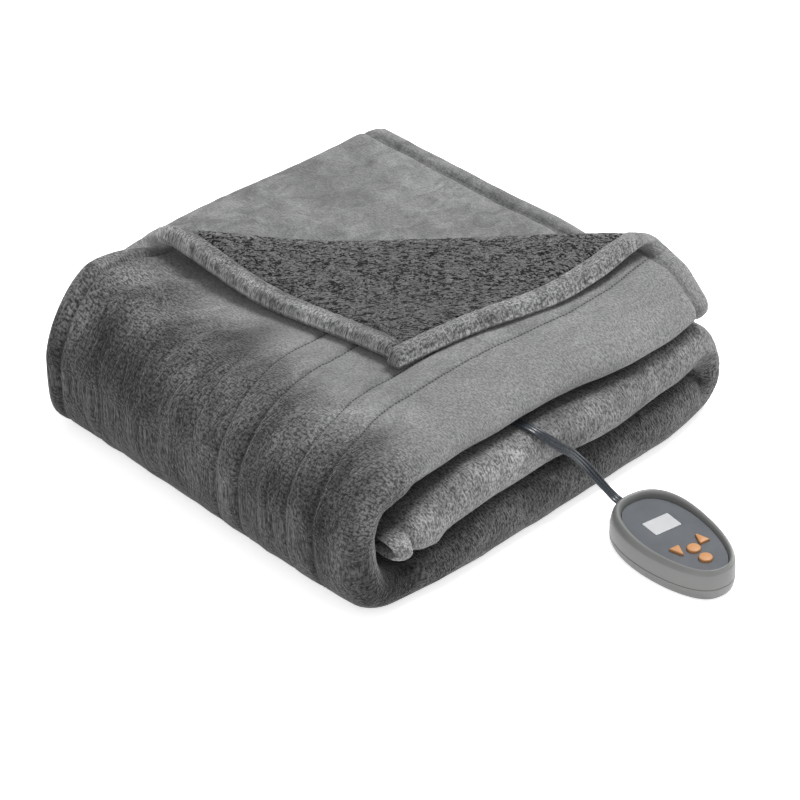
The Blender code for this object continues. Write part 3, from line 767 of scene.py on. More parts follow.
# %% Folding one point of the cloth
SET_BACK_FADE = (20.0, 260.0)
UNCOVERED_RISE = 9.0
UNCOVERED_RISE_FROM = (8.0, 75.0)
FAR_CORNER_ROUND = 11.0
FAR_CORNER_FROM = (BACK_AXIS - 30.0, FOLDED_WIDTH)
FAR_CORNER_TO = (-12.0, 30.0)
UNDER_DRAW = 10.0
UNDER_DRAW_FROM = (TOP_RUN + 20.0, TOP_RUN + 90.0)
UNDER_DRAW_TO = (560.0, 860.0)
INNER_NECK = 13.0
INNER_NECK_AT = 392.0
INNER_NECK_SPAN = 62.0
INNER_NECK_FROM = (BACK_AXIS - 90.0, FOLDED_WIDTH)
HEM_DRIFT = 19.0
DRIFT_FROM = (320.0, 400.0)
DRIFT_TO = (480.0, 620.0)


def folded(a, b, lift):
    """Point of the folded throw for the flat cloth's point (a, b), lift towards the plush."""
    v, w = across(b, lift)
    if b <= TOP_RUN:
        v += HEM_DRIFT * (1 - b / TOP_RUN) * ease(a, *DRIFT_FROM) * (1 - ease(a, *DRIFT_TO))
    if b <= TOP_RUN and a <= STRIP_END:
        slide = corner_slide(v) * (1 - a / STRIP_END)
        u, v, rise = turned_back(STRIP_END - a - slide, v, lift)
        a = STRIP_END - u
        w = TOP_SEAM + rise
    elif b <= TOP_RUN and a <= BOTTOM_START:
        w += arched(STRIP_END - a, v)[0]
    elif a <= STRIP_END:
        drawn_in = UNDER_DRAW * ease(b, *UNDER_DRAW_FROM) * (1 - ease(b, *UNDER_DRAW_TO))
        drawn_in += corner_slide(v) * (1 - ease(b, TOP_RUN, TOP_RUN + pi * FRONT_RADIUS))
        a += drawn_in * (1 - a / STRIP_END)
        w += UNCOVERED_RISE * (w / MIDDLE_SEAM) * ease(past_diagonal(STRIP_END - a, v), *UNCOVERED_RISE_FROM)
    x, z, back = along(a, v, w)
    y = v + back * (1 - ease(v, *SET_BACK_FADE))
    if a < STRIP_END:
        y -= FAR_CORNER_ROUND * (1 - ease(a, *FAR_CORNER_TO)) * ease(v, *FAR_CORNER_FROM)
    if b > TOP_RUN and a < BOTTOM_START:
        neck = exp(-((a - INNER_NECK_AT) / INNER_NECK_SPAN) ** 2)
        y -= INNER_NECK * neck * ease(v, *INNER_NECK_FROM)
    return Vector((x - MIDDLE_X, y - MIDDLE_Y, z))


print("middle of the top layer lies at", tuple(round(x) for x in folded(200, 200, PLUSH)), "mm")

# %% [markdown]
# ## Relief on the plush
#
# Sewn channels run along the throw in pairs, and hold the heating wire.  Each line of
# stitches draws the cloth down into a soft trough, and the channel between two lines stands
# a little proud.  One stray line of stitches ends on the left fold.

# %% Sewn channels
# line of stitches: (place across the flat cloth, drift of the line round the left fold)
CHANNEL_LINES = ((204.0, 30.0), (243.0, 23.0), (309.0, 24.0), (343.0, 26.0))
LOOSE_LINE = (176.0, 20.0)
LOOSE_LINE_ENDS = (384.0, 446.0)
LOOSE_LINE_FADE = 20.0
# the drift comes before the left fold and goes on the middle strip: (from, to, from, to)
CHANNEL_DRIFT = (340.0, 440.0, 1020.0, 1120.0)
CHANNEL_TROUGH = 2.4
CHANNEL_TROUGH_WIDTH = 3.0
CHANNEL_SWELL = 2.2
# depth of a puckered trough: mean share and change, over lumps of a size
PUCKER = (0.75, 0.35)
PUCKER_SIZE = 9.0


def between(x, start, full, fading, end):
    """1 between full and fading, and 0 outside start and end."""
    return ease(x, start, full) * (1 - ease(x, fading, end))


def lumpy(a, b, seed, long, wide=None):
    """Smooth noise of about -1 to 1, with lumps of a size along the cloth and across it."""
    return noise.noise(Vector((a / long, b / (wide or long), seed)))


def bell(off):
    return exp(-off * off)


def channel_place(line, a):
    return line[0] + line[1] * between(a, *CHANNEL_DRIFT)


def channel_relief(a, b):
    """Troughs along the stitches, puckered a little, and the swell between each pair."""
    start, end = LOOSE_LINE_ENDS
    loose = between(a, start - LOOSE_LINE_FADE, start, end, end + LOOSE_LINE_FADE)
    pucker = PUCKER[0] + PUCKER[1] * lumpy(a, b, 3, PUCKER_SIZE)
    height = 0.0
    for line in (*CHANNEL_LINES, LOOSE_LINE):
        depth = CHANNEL_TROUGH * pucker * (loose if line is LOOSE_LINE else 1)
        height -= depth * bell((b - channel_place(line, a)) / CHANNEL_TROUGH_WIDTH)
    for first, second in (CHANNEL_LINES[0:2], CHANNEL_LINES[2:4]):
        low, high = channel_place(first, a), channel_place(second, a)
        if low < b < high:
            height += CHANNEL_SWELL * sin(pi * (b - low) / (high - low)) ** 0.8
    return height


print("relief at the middle of a channel:", round(channel_relief(300, 224), 2), "mm")

# %% [markdown]
# ## Creases
#
# Where the cloth goes round the left fold, the outer layer has too much length, and it shows
# as soft creases.  Each is one row of a table: a ridge or a trough that fades at its ends.

# %% Creases
# crease: (a at its start, b at its start, a at its end, b at its end, half width, height)
CREASES = (
    (340, 36, 372, 22, 5, 2.0),
    (372, 22, 424, 16, 7, 1.4),
    (330, 62, 404, 44, 6, -1.8),
    (404, 44, 428, 34, 5, -1.6),
    (318, 76, 366, 60, 7, 1.8),
    (366, 60, 420, 54, 8, 1.6),
    (352, 92, 424, 74, 7, -1.5),
    (416, 80, 442, 98, 4, -1.6),
    (424, 84, 452, 104, 7, 1.4),
    (430, 118, 492, 136, 10, 1.5),
    (436, 146, 496, 158, 9, -1.5),
    (420, 40, 470, 34, 4, -1.5),
    (462, 44, 496, 62, 4, -2.2),
    (466, 58, 500, 78, 5, 1.8),
    (474, 76, 502, 98, 5, -1.8),
    (446, 190, 500, 196, 8, -1.3),
    (452, 300, 500, 292, 9, 1.4),
    (440, 396, 500, 410, 8, -1.2),
    (60, 250, 150, 300, 22, 0.9),
    (180, 330, 290, 380, 20, -0.9),
    (24, 330, 90, 372, 14, 0.8),
    # inside the left fold's front end
    (398, 446, 424, 450, 9, 8.0),
    (540, 424, 604, 440, 5, 2.4),
    (536, 440, 580, 452, 4, -2.2),
    # front edge of the middle strip, near its end
    (1328, 404, 1316, 452, 4, -3.2),
    (1308, 408, 1290, 456, 5, 2.4),
    (1282, 410, 1276, 450, 5, -2.2),
    # front edge of the right fold
    (912, 438, 960, 452, 4, -5.0),
    (930, 420, 972, 430, 5, 2.5),
)
CREASE_FADE = (-0.35, 0.25, 0.75, 1.35)


def from_crease(a, b, crease):
    """Height that one crease adds at (a, b)."""
    start, end = Vector(crease[0:2]), Vector(crease[2:4])
    run = end - start
    share = (Vector((a, b)) - start).dot(run) / run.length_squared
    if not CREASE_FADE[0] < share < CREASE_FADE[3]:
        return 0.0
    off = (Vector((a, b)) - start - run * share).length / crease[4]
    return crease[5] * bell(off) * between(share, *CREASE_FADE) if off < 3 else 0.0


print("creases:", len(CREASES))

# %% [markdown]
# ## Where the plush shows
#
# The relief is full where the plush faces the air.  Where it faces another layer it is left
# out, because two bumpy layers a little way apart would touch.

# %% Open and hidden stretches
UNCOVERED_FROM = TOP_RUN + pi * FRONT_RADIUS + BOTTOM_RUN + pi * BACK_RADIUS
# where each part comes into the open or goes out of it: (from, to), or a rise and a fall
FLAP_PAST = (12, 40)
UNCOVERED_PAST = (25, 60)
HIDES_ROUND_FRONT = (TOP_RUN + 60, TOP_RUN + 90)
HIDES_ROUND_LEFT = (455, 512)
RIGHT_END_SHOWS = (905, 925, 985, 1005)
FRONT_SHOWS = (TOP_RUN, TOP_RUN + 12, TOP_RUN + 42, TOP_RUN + 56)


def edge_distance(a, b):
    return min(a, FLAT_LENGTH - a, b, FLAT_WIDTH - b)


def on_flap(a, b):
    """1 on the turned-back corner, 0 before its fold."""
    if a > STRIP_END or b > TOP_RUN:
        return 0.0
    return ease(past_diagonal(STRIP_END - a, TOP_HEM - b), *FLAP_PAST)


def exposed(a, b):
    """1 where the plush faces the air, 0 where it faces another layer a little way off."""
    above = 1 - ease(b, *HIDES_ROUND_FRONT)
    on_top = above * (1 - ease(a, *HIDES_ROUND_LEFT)) * (1 - on_flap(a, b))
    uncovered = 0.0
    if a < STRIP_END and b > UNCOVERED_FROM:
        uncovered = ease(past_diagonal(STRIP_END - a, BACK_AXIS - (b - UNCOVERED_FROM)), *UNCOVERED_PAST)
    return max(on_top, above * between(a, *RIGHT_END_SHOWS), between(b, *FRONT_SHOWS), uncovered)


print("open at the top layer's middle:", exposed(200, 200))

# %% [markdown]
# ## Faces of the plush
#
# The hem is turned over the curly pile's edge and sewn down, so it is a soft roll with a
# sewn groove behind it.  plush_top() and plush_under() give the height of both faces.

# %% Open face of the plush
HEM_GROOVE = 3.4
HEM_GROOVE_WIDTH = 3.0
HIDDEN_SHARE = 0.4
HEM_ROLL = 2.0
EDGE_ROUND = 8.0
# soft lumps of the open plush: (height, size, seed)
SOFT_LUMPS = ((1.2, 75, 7), (0.9, 30, 2))
# height and size of the small lumps that are everywhere
SMALL_LUMPS = (0.35, 14)
# the channels start at the hem and have their full depth this far in
CHANNELS_FULL = HEM + 25
# creases and seams are left out past here, round the front fold and inside the stack
SEEN_ACROSS = TOP_RUN + 60
HIDDEN_ALONG = (620, 900)


def plush_relief(a, b):
    """How far the plush's pile stands above its even face at (a, b)."""
    open_air = exposed(a, b)
    edge = edge_distance(a, b)
    height = SMALL_LUMPS[0] * lumpy(a, b, 0, SMALL_LUMPS[1])
    groove = HIDDEN_SHARE + (1 - HIDDEN_SHARE) * open_air
    height -= HEM_GROOVE * bell((edge - HEM) / HEM_GROOVE_WIDTH) * groove
    if edge < HEM:
        height += HEM_ROLL * sin(pi * edge / HEM) * open_air
    if open_air > 0:
        soft = sum(much * lumpy(a, b, seed, size) for much, size, seed in SOFT_LUMPS)
        height += open_air * (soft + channel_relief(a, b) * ease(edge, HEM, CHANNELS_FULL))
    if b < SEEN_ACROSS and not HIDDEN_ALONG[0] <= a <= HIDDEN_ALONG[1]:
        height += max(open_air, HIDDEN_SHARE) * sum(from_crease(a, b, crease) for crease in CREASES)
    return height


def rounded_edge(edge, radius):
    """0 at the cloth's edge, 1 from radius on, in a quarter circle."""
    t = min(max(edge / radius, 0.0), 1.0)
    return sqrt(1 - (1 - t) ** 2)


def plush_top(a, b):
    """Height of the open face above the seam between the cloths."""
    edge = edge_distance(a, b)
    middle = (PLUSH - SHERPA) / 2
    return middle + (PLUSH - middle) * rounded_edge(edge, EDGE_ROUND) + plush_relief(a, b) * ease(edge, 0, 6)


print("height of a channel's middle:", round(plush_top(300, 224), 1), "mm")

# %% Hem and underside of the plush
END_HEM_ROLL = 6.5
SIDE_HEM_ROLL = 2.5
TIP_GAP = 4.5
TIP_GAP_WIDTH = 2.2
TIP_REACH = 7.0
# height and size of the lumps on the flap's hem
HEM_LUMPS = (0.8, 6)


def hem_height(a, b):
    """How far the hem's roll stands below the curly pile: full on the flap, slight elsewhere."""
    flap = on_flap(a, b)
    end_roll, side_roll = (sqrt(max(1 - ((place - HEM / 2) / (HEM / 2)) ** 2, 0.0)) for place in (a, b))
    end_hem = END_HEM_ROLL * flap * end_roll * rounded_edge(b, 9)
    side_hem = SIDE_HEM_ROLL * flap * side_roll * ease(a, HEM + 1, HEM + 14)
    gap = TIP_GAP * flap * bell((a - HEM - 1.5) / TIP_GAP_WIDTH) * (b < HEM)
    return max(end_hem, side_hem) + 1.0 - gap + HEM_LUMPS[0] * lumpy(a, b, 5, HEM_LUMPS[1]) * flap


def plush_under(a, b):
    """Height of the face on the curly pile, which is the hem's roll along the edges."""
    edge = edge_distance(a, b)
    if edge > HEM - 0.5:
        return 0.0
    middle = (PLUSH - SHERPA) / 2
    roll = hem_height(a, b) * sin(pi / 2 * min(edge / 6, 1.0))
    both_sides = rounded_edge(edge, EDGE_ROUND) * rounded_edge(HEM - edge + 1.5, 5)
    return middle - (middle + SHERPA + roll) * both_sides


def tip_reach(a, b):
    """The end hem's round end reaches past the side hem at the turned-back tip."""
    return TIP_REACH * on_flap(a, b) * (1 - ease(a, HEM - 4, HEM + 1)) * (1 - ease(b, 0, 45))


print("plush thickness on the flap's hem:", round(plush_top(10, 90) - plush_under(10, 90), 1), "mm")

# %% [markdown]
# ## Lie of the pile, and painted shade
#
# Hands brushed the strips and folds different ways, so some are lighter than others, and some lie smooth
# while others stand ruffled.  The tone and the seam value also hold painted shade: darker under an
# overhanging layer, over the left fold, low on the bottom strip and in the bottom of the seams.  Each cloth
# point keeps four values from 0 to about 1, and the plush's finish reads them.

# %% Tone of the pile, with painted shade
# painted shadow: the pile just below a layer's overhanging front edge is darker
OVERHANG_SHADOW = 0.6
OVERHANG_SHADOW_UNTIL = (TOP_RUN - 10, TOP_RUN + 16)
TOP_TONE = 1.02
# the top gets darker over the left fold, further on at the back: painted shade where the fold turns from the
# light, together with the pile's lie: (how much, from a, to a)
FOLD_SHADES = ((0.55, 320, 395), (0.27, 395, 465))
OVER_FOLD = (320, 400)
BACK_PART = (120, 330)
# the bottom strip is dark: its pile lies the other way, and painted shade where it sits low under the strips
# above
BOTTOM_NAP_AND_SHADE = 0.34
# extra tone along the right fold, then tone and extra tone along the middle strip
RIGHT_FOLD_GAIN = 0.45
MIDDLE_TONE = (0.85, 0.4)
MIDDLE_GAIN_FROM = (MIDDLE_START + 60, MIDDLE_START + 360)
UNCOVERED_TONE = 0.9
END_HEM_TONE = 1.05


def nap_and_shade_tone(a, b):
    """Lighter or darker lie of the pile, with painted shade under overhanging layers, over the left fold, on
    the bottom strip and towards the side hem's seam, and darker on the lower layers round the left fold.
    """
    # painted shadow under the overhanging layer above
    overhang_shadow = 1 - OVERHANG_SHADOW * (1 - ease(b, *OVERHANG_SHADOW_UNTIL))
    if a >= MIDDLE_START:
        return (MIDDLE_TONE[0] + MIDDLE_TONE[1] * ease(a, *MIDDLE_GAIN_FROM)) * overhang_shadow
    if a >= BOTTOM_START + RIGHT_AXIS:
        return BOTTOM_NAP_AND_SHADE + RIGHT_FOLD_GAIN * ease(a, BOTTOM_START + RIGHT_AXIS + 20, MIDDLE_START)
    if a >= BOTTOM_START:
        return BOTTOM_NAP_AND_SHADE * overhang_shadow
    if b > UNCOVERED_FROM - 30:
        return UNCOVERED_TONE
    # the side hem is lighter at its outer edge and darker towards its seam: painted shade on the roll
    if b < HEM + 2 and a < STRIP_END:
        return END_HEM_TONE if a <= HEM else 1.15 - 0.4 * ease(b, 5, 17)
    past = a - 25 * ease(b, *BACK_PART) + 55 * lumpy(a, b, 11, 60, 45)
    tone = TOP_TONE - sum(much * ease(past, start, end) for much, start, end in FOLD_SHADES)
    tone *= 1 + 0.45 * lumpy(a, b, 5, 80, 24) * ease(past, *OVER_FOLD)
    return tone * (1 - 0.3 * ease(a, STRIP_END, BOTTOM_START) * (b > TOP_RUN + 20))


print("tone of the top layer:", round(nap_and_shade_tone(100, 300), 2))
print("tone of the left fold:", round(nap_and_shade_tone(470, 300), 2))

# %% Ruffled and cloudy pile, and painted shade in the seams
RUFFLED_TOP = 0.26
RUFFLED_FRONT_GAIN = 0.16
RUFFLED_FOLD = 0.84
CLOUDY_TOP = 0.16
CLOUDY_MIDDLE_GAIN = 0.16
CLOUDY_FOLD = 0.72
# painted shade in a seam's groove and its half width, at the hem and along a channel
HEM_PAINTED_SHADE = (0.35, 1.8)
CHANNEL_PAINTED_SHADE = (0.28, 1.5)


def towards_fold(a, b, on_top, on_fold):
    return on_top + (on_fold - on_top) * ease(a - 30 * ease(b, *BACK_PART), *OVER_FOLD)


def on_flap_hem(a, b):
    return edge_distance(a, b) < HEM and on_flap(a, b) > 0.5


def ruffle(a, b):
    """0 where the pile is brushed flat, 1 where it stands ruffled."""
    if on_flap_hem(a, b):
        return 0.7
    if a > BOTTOM_START:
        return 0.72 if a > MIDDLE_START - RIGHT_FOLD / 2 else 1.0
    if b > UNCOVERED_FROM - 10:
        return 0.24
    return towards_fold(a, b, RUFFLED_TOP + RUFFLED_FRONT_GAIN * ease(b, 290, TOP_RUN), RUFFLED_FOLD)


def cloudy(a, b):
    """0 where the pile lies even, 1 where it lies in light and dark clouds."""
    if a > BOTTOM_START or on_flap_hem(a, b):
        return 0.6
    if b > UNCOVERED_FROM - 10:
        return 0.5
    even = CLOUDY_TOP + CLOUDY_MIDDLE_GAIN * between(b, 200, 300, 330, TOP_RUN) * ease(a, 60, 200)
    return towards_fold(a, b, even, CLOUDY_FOLD)


def painted_seam_shade(a, b):
    """Painted shade: 1 on the open pile, less in the bottom of a seam's groove."""
    shade = 1 - HEM_PAINTED_SHADE[0] * bell((edge_distance(a, b) - HEM) / HEM_PAINTED_SHADE[1])
    if b < SEEN_ACROSS:
        for line in CHANNEL_LINES:
            shade *= 1 - CHANNEL_PAINTED_SHADE[0] * bell((b - channel_place(line, a)) / CHANNEL_PAINTED_SHADE[1])
    return shade


print("shade in the bottom of a channel's seam:", round(painted_seam_shade(200, CHANNEL_LINES[0][0]), 2))

# %% [markdown]
# ## The two cloths
#
# A cloth is a grid of points on the flat pattern, with close lines where it shows and wide
# ones where it is hidden.  Each point is carried by folded() to its place, once for the pile
# side and once for the other side, and the four edges are closed.

# %% Making a cloth
def lines(rows, start=0.0):
    """Places of grid lines: rows of (up to where, how far apart)."""
    made = [start]
    for until, step in rows:
        count = max(round((until - made[-1]) / step), 1)
        first = made[-1]
        made += [first + (until - first) * i / count for i in range(1, count + 1)]
    return made


def rim_of(columns, rows):
    """Numbers of a grid's outer points, in order round it."""
    last = (columns - 1) * rows
    return [*range(rows), *range(2 * rows - 1, columns * rows, rows),
            *range(last + rows - 2, last - 1, -1), *range(last - rows, 0, -rows)]


def cloth(name, along_lines, across_lines, across_place, top, under, reach, values, look):
    """Closed thin sheet between its top and its under face, folded into place."""
    columns, rows = len(along_lines), len(across_lines)
    spots = [(a, across_place(a, b)) for a in along_lines for b in across_lines]
    points = [folded(a, b - reach(a, b), lift(a, b)) for lift in (top, under) for a, b in spots]
    half = len(spots)
    faces = []
    for i in range(columns - 1):
        for j in range(rows - 1):
            p, q = i * rows + j, (i + 1) * rows + j
            faces.append((p, q, q + 1, p + 1))
            faces.append((p + half, p + 1 + half, q + 1 + half, q + half))
    rim = rim_of(columns, rows)
    faces += [(p, q, q + half, p + half) for p, q in zip(rim, rim[1:] + rim[:1])]
    made = mesh_piece(name, points, faces, look)
    layer = made.data.uv_layers.new(name="cloth")
    for loop in made.data.loops:
        layer.data[loop.index].uv = Vector(spots[loop.vertex_index % half]) * MM
    for key, value in values.items():
        kept = made.data.attributes.new(key, "FLOAT", "POINT").data
        kept.foreach_set("value", [value(a, b) for a, b in spots] * 2)
    return made


print("a 3 x 3 grid's rim:", rim_of(3, 3))

# %% [markdown]
# ## The plush cloth
#
# The grid's lines follow the drifting channels, with closer lines beside each seam, so that
# the troughs are drawn by whole rows of faces and not cut across.

# %% Plush cloth
FRONT_END = TOP_RUN + pi * FRONT_RADIUS
BACK_START = FRONT_END + BOTTOM_RUN
BESIDE_SEAM = (-5.6, -3.4, -1.8, -0.7, 0.0, 0.7, 1.8, 3.4, 5.6)
SEAM_CLEAR = 7.2
DRIFTLESS_UNTIL = 140.0


def along_channels(a, b):
    """Place across the cloth of grid line b at a: the lines run along the drifting channels."""
    spots = ((0.0, 0.0), (DRIFTLESS_UNTIL, 0.0), LOOSE_LINE, *CHANNEL_LINES,
             (TOP_RUN, 0.0), (FLAT_WIDTH, 0.0))
    for (before, first), (after, second) in zip(spots, spots[1:]):
        if b <= after:
            drift = first + (second - first) * (b - before) / (after - before)
            return b + drift * between(a, *CHANNEL_DRIFT)
    return b


plush_along = lines(((26, 2), (390, 5.0), (BOTTOM_START, 3.6), (BOTTOM_START + RIGHT_AXIS, 14),
                     (MIDDLE_START, 4.8), (FLAT_LENGTH - 22, 12), (FLAT_LENGTH, 2.4)))
plush_across = lines(((26, 2), (TOP_RUN, 4.4), (FRONT_END, 3.6), (BACK_START, 24), (UNCOVERED_FROM, 3.0),
                      (FLAT_WIDTH - 60, 7.5), (FLAT_WIDTH - 22, 12), (FLAT_WIDTH, 2.8)))
for seam, _ in (*CHANNEL_LINES, LOOSE_LINE):
    away = [b for b in plush_across if abs(b - seam) > SEAM_CLEAR]
    plush_across = sorted(away + [seam + off for off in BESIDE_SEAM])
plush = cloth("plush_cloth", plush_along, plush_across, along_channels, plush_top, plush_under, tip_reach,
              {"tone": nap_and_shade_tone, "seam": painted_seam_shade, "ruffle": ruffle, "cloudy": cloudy}, plush_look)
declare(plush, "throw", "plush_face")
print("plush:", len(plush.data.vertices), "points,", len(plush.data.polygons), "faces")

# %% [markdown]
# ## The curly pile cloth
#
# The curly pile only shows on the turned-back corner, so its lumps are modelled there and
# the rest is an even sheet.  It ends at the plush's hem, which covers its edge.

# %% Curly pile cloth
CURL_SHOWS = 352.0
LUMP_HEIGHT = 1.5
# lumps of the curls: (share, size, seed)
LUMPS = ((0.6, 7.5, 4), (0.25, 3.6, 9))
SEWN_DIP = 4.0
SEWN_DIP_WIDTH = 4.0
HIDDEN_CURL_SHADE = 0.6


def curl_height(a, b):
    """Height of the curls, from about 0 in a hollow to about 1 on a lump."""
    return 0.5 + sum(share * lumpy(a, b, seed, size) for share, size, seed in LUMPS)


def curly_under(a, b):
    """The open side of the curly pile, drawn in along the sewn hem."""
    if max(a, b) >= CURL_SHOWS:
        return -SHERPA
    edge = edge_distance(a, b)
    dip = SEWN_DIP * bell((edge - HEM) / SEWN_DIP_WIDTH) * on_flap(a, b)
    return -SHERPA - (curl_height(a, b) - 0.4) * LUMP_HEIGHT * ease(edge, HEM, HEM + 4) + dip


def curl_painted_shade(a, b):
    """Painted shade: paler on the lumps, darker in the hollows between them and in the dip at the hem."""
    if max(a, b) >= CURL_SHOWS:
        return HIDDEN_CURL_SHADE
    return curl_height(a, b) * ease(edge_distance(a, b), HEM - 2, HEM + 3)


curly_edge = HEM + 2 * SKIN_GAP
curly_along = lines(((CURL_SHOWS, 2.5), (STRIP_END, 6), (BOTTOM_START, 7), (BOTTOM_START + RIGHT_AXIS, 18),
                     (MIDDLE_START, 7), (FLAT_LENGTH - curly_edge, 14)), curly_edge)
curly_across = lines(((CURL_SHOWS, 2.5), (TOP_RUN, 7), (FRONT_END, 5), (BACK_START, 20),
                      (UNCOVERED_FROM, 4.5), (FLAT_WIDTH - curly_edge, 20)), curly_edge)
curly = cloth("curly_cloth", curly_along, curly_across, lambda a, b: b, lambda a, b: -SKIN_GAP, curly_under,
              lambda a, b: 0.0, {"curl_shade": curl_painted_shade}, curly_look)
declare(curly, "throw", "sherpa_back")
print("curly pile:", len(curly.data.vertices), "points,", len(curly.data.polygons), "faces")

# %% [markdown]
# ## Stitches
#
# Each line of stitches is a row of short threads that lie in a trough.  They could be
# copied by hand, but a node tree does it better: it walks each line at an even pitch, sets
# one small thread down at every step and turns it along the line.

# %% Node tree for rows of stitches
# socket of the tree: (name, way, kind)
STITCH_SOCKETS = (
    ("Rows", "INPUT", "Geometry"),
    ("Pitch", "INPUT", "Float"),
    ("Stitch length", "INPUT", "Float"),
    ("Thread", "INPUT", "Float"),
    ("Finish", "INPUT", "Material"),
    ("Stitches", "OUTPUT", "Geometry"),
)


def stitch_tree():
    """Rows of threads along every curve of the object."""
    tree = bpy.data.node_groups.new("stitch_rows", "GeometryNodeTree")
    for name, way, kind in STITCH_SOCKETS:
        tree.interface.new_socket(name, in_out=way, socket_type="NodeSocket" + kind)
    given = wired(tree, "NodeGroupInput").outputs
    half_long, half_thick = (
        wired(tree, "ShaderNodeMath", {"operation": "MULTIPLY"}, i0=given[size], i1=0.5).outputs["Value"]
        for size in ("Stitch length", "Thread"))
    size = wired(tree, "ShaderNodeCombineXYZ", X=half_long, Y=half_thick, Z=half_thick)
    thread = wired(tree, "GeometryNodeMeshIcoSphere", Radius=1.0, Subdivisions=1)
    steps = wired(tree, "GeometryNodeResampleCurve", {"mode": "LENGTH"}, Curve=given["Rows"],
                  Length=given["Pitch"])
    tangent = wired(tree, "GeometryNodeInputTangent")
    turn = wired(tree, "FunctionNodeAlignEulerToVector", {"axis": "X"}, Vector=tangent.outputs["Tangent"])
    copies = wired(tree, "GeometryNodeInstanceOnPoints", Points=steps.outputs["Curve"],
                   Instance=thread.outputs["Mesh"], Rotation=turn.outputs["Rotation"],
                   Scale=size.outputs["Vector"])
    real = wired(tree, "GeometryNodeRealizeInstances", Geometry=copies.outputs["Instances"])
    finish = wired(tree, "GeometryNodeSetMaterial", Geometry=real.outputs["Geometry"],
                   Material=given["Finish"])
    wired(tree, "NodeGroupOutput", Stitches=finish.outputs["Geometry"])
    return tree


stitch_rows = stitch_tree()
print("stitch tree:", len(stitch_rows.nodes), "nodes")

# %% Stitches along the channels
# sizes of the stitches, under the names of the tree's inputs
STITCH_SIZES = {"Pitch": 3.9, "Stitch length": 2.1, "Thread": 1.5}
# a line of stitches shows on the top and the left fold, and on the right fold
CHANNELS_SHOW = ((24, 560), (890, 1010))
POINT_EVERY = 3.0
THREAD_RISE = 0.15


def stitched(name, rows, tree, sizes, look):
    """Plain mesh of the stitches along rows of points."""
    curve = bpy.data.curves.new(name + "_rows", "CURVE")
    curve.dimensions = "3D"
    for row in rows:
        line = curve.splines.new("POLY")
        line.points.add(len(row) - 1)
        for point, spot in zip(line.points, row):
            point.co = (*spot * MM, 1)
    guide = bpy.data.objects.new(name + "_rows", curve)
    pieces.objects.link(guide)
    modifier = guide.modifiers.new("stitches", "NODES")
    modifier.node_group = tree
    values = {key: size * MM for key, size in sizes.items()} | {"Finish": look}
    for socket in tree.interface.items_tree:
        if socket.name in values:
            modifier[socket.identifier] = values[socket.name]
    bpy.context.view_layer.update()
    mesh = bpy.data.meshes.new_from_object(guide.evaluated_get(bpy.context.evaluated_depsgraph_get()))
    bpy.data.objects.remove(guide)
    mesh.shade_smooth()
    made = bpy.data.objects.new(name, mesh)
    pieces.objects.link(made)
    return made


def row_on_plush(line, start, end):
    """Points along a line of stitches, just proud of the plush in its trough."""
    count = round((end - start) / POINT_EVERY)
    row = []
    for i in range(count + 1):
        a = start + (end - start) * i / count
        b = channel_place(line, a)
        row.append(folded(a, b, plush_top(a, b) + THREAD_RISE))
    return row


rows = [row_on_plush(line, *stretch) for line in CHANNEL_LINES for stretch in CHANNELS_SHOW]
rows.append(row_on_plush(LOOSE_LINE, *LOOSE_LINE_ENDS))
stitches = stitched("channel_stitches", rows, stitch_rows, STITCH_SIZES, thread_look)
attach(stitches, "throw")
print("stitches:", len(stitches.data.polygons), "faces in", len(rows), "rows")

# %% [markdown]
# ## The hand controller
#
# The controller is an egg-shaped shell of two halves.  The lower half is a plain tub.  The
# upper half rolls over into a recess, and a darker panel lies in that recess.  Both halves
# are lofts: the same outline, drawn in by a table of insets at a table of heights.

# %% Outline of the controller
# place of its middle beside the throw, and its turn
CONTROL_X = 195.0
CONTROL_Y = -123.1
CONTROL_TURN = radians(-100.2)
BODY_LENGTH = 140.0
BODY_WIDTH = 84.0
BODY_HEIGHT = 36.0
# below 1 fills the oval's corners out, and the taper makes the cord's end the wider one
BLUNT = 0.8
TAPER = 0.14
# an inset draws the far end in less than the sides and the cord's end
SIDE_SHARE = 0.8
# the rim is lower from the middle to the far end
RIM_DROP = 3.5
RIM_DROP_FROM = (-58.0, 10.0)
RIM_DROP_HEIGHT = (27.0, 34.0)
OUTLINE_STEPS = 120
SHARP_EDGE = 32


def set_down(point):
    """Place a point of the controller's own frame in the throw's frame."""
    turned = Matrix.Rotation(CONTROL_TURN, 3, "Z") @ Vector(point)
    return turned + Vector((CONTROL_X - MIDDLE_X, CONTROL_Y - MIDDLE_Y, 0))


def oval(inset, z):
    """Ring of the controller's egg outline, blunt at the cord's end, drawn in by inset."""
    ring = []
    for i in range(OUTLINE_STEPS):
        t = 2 * pi * i / OUTLINE_STEPS
        x = (BODY_LENGTH / 2 - SIDE_SHARE * inset) * cos(t) + (1 - SIDE_SHARE) * inset
        side = copysign(abs(sin(t)) ** BLUNT, sin(t))
        drop = RIM_DROP * ease(x, *RIM_DROP_FROM) * ease(z, *RIM_DROP_HEIGHT)
        ring.append((x, (BODY_WIDTH / 2 - inset) * side * (1 - TAPER * cos(t)), z - drop))
    return ring


def lofted(name, rings, look, body, node_name):
    """Closed body through rings of equal length, set down in the controller's place."""
    made = closed_tube(name, [[set_down(point) for point in ring] for ring in rings], look, SHARP_EDGE)
    declare(made, body, node_name)
    return made


print("controller:", BODY_LENGTH, "x", BODY_WIDTH, "x", BODY_HEIGHT, "mm")

# %% Two halves of the shell
# height of the line where the halves meet, and the gap that any two parts keep
PARTING = 12.8
FIT = 0.3
PANEL_FLOOR = 25.2
RING_EVERY = 0.8
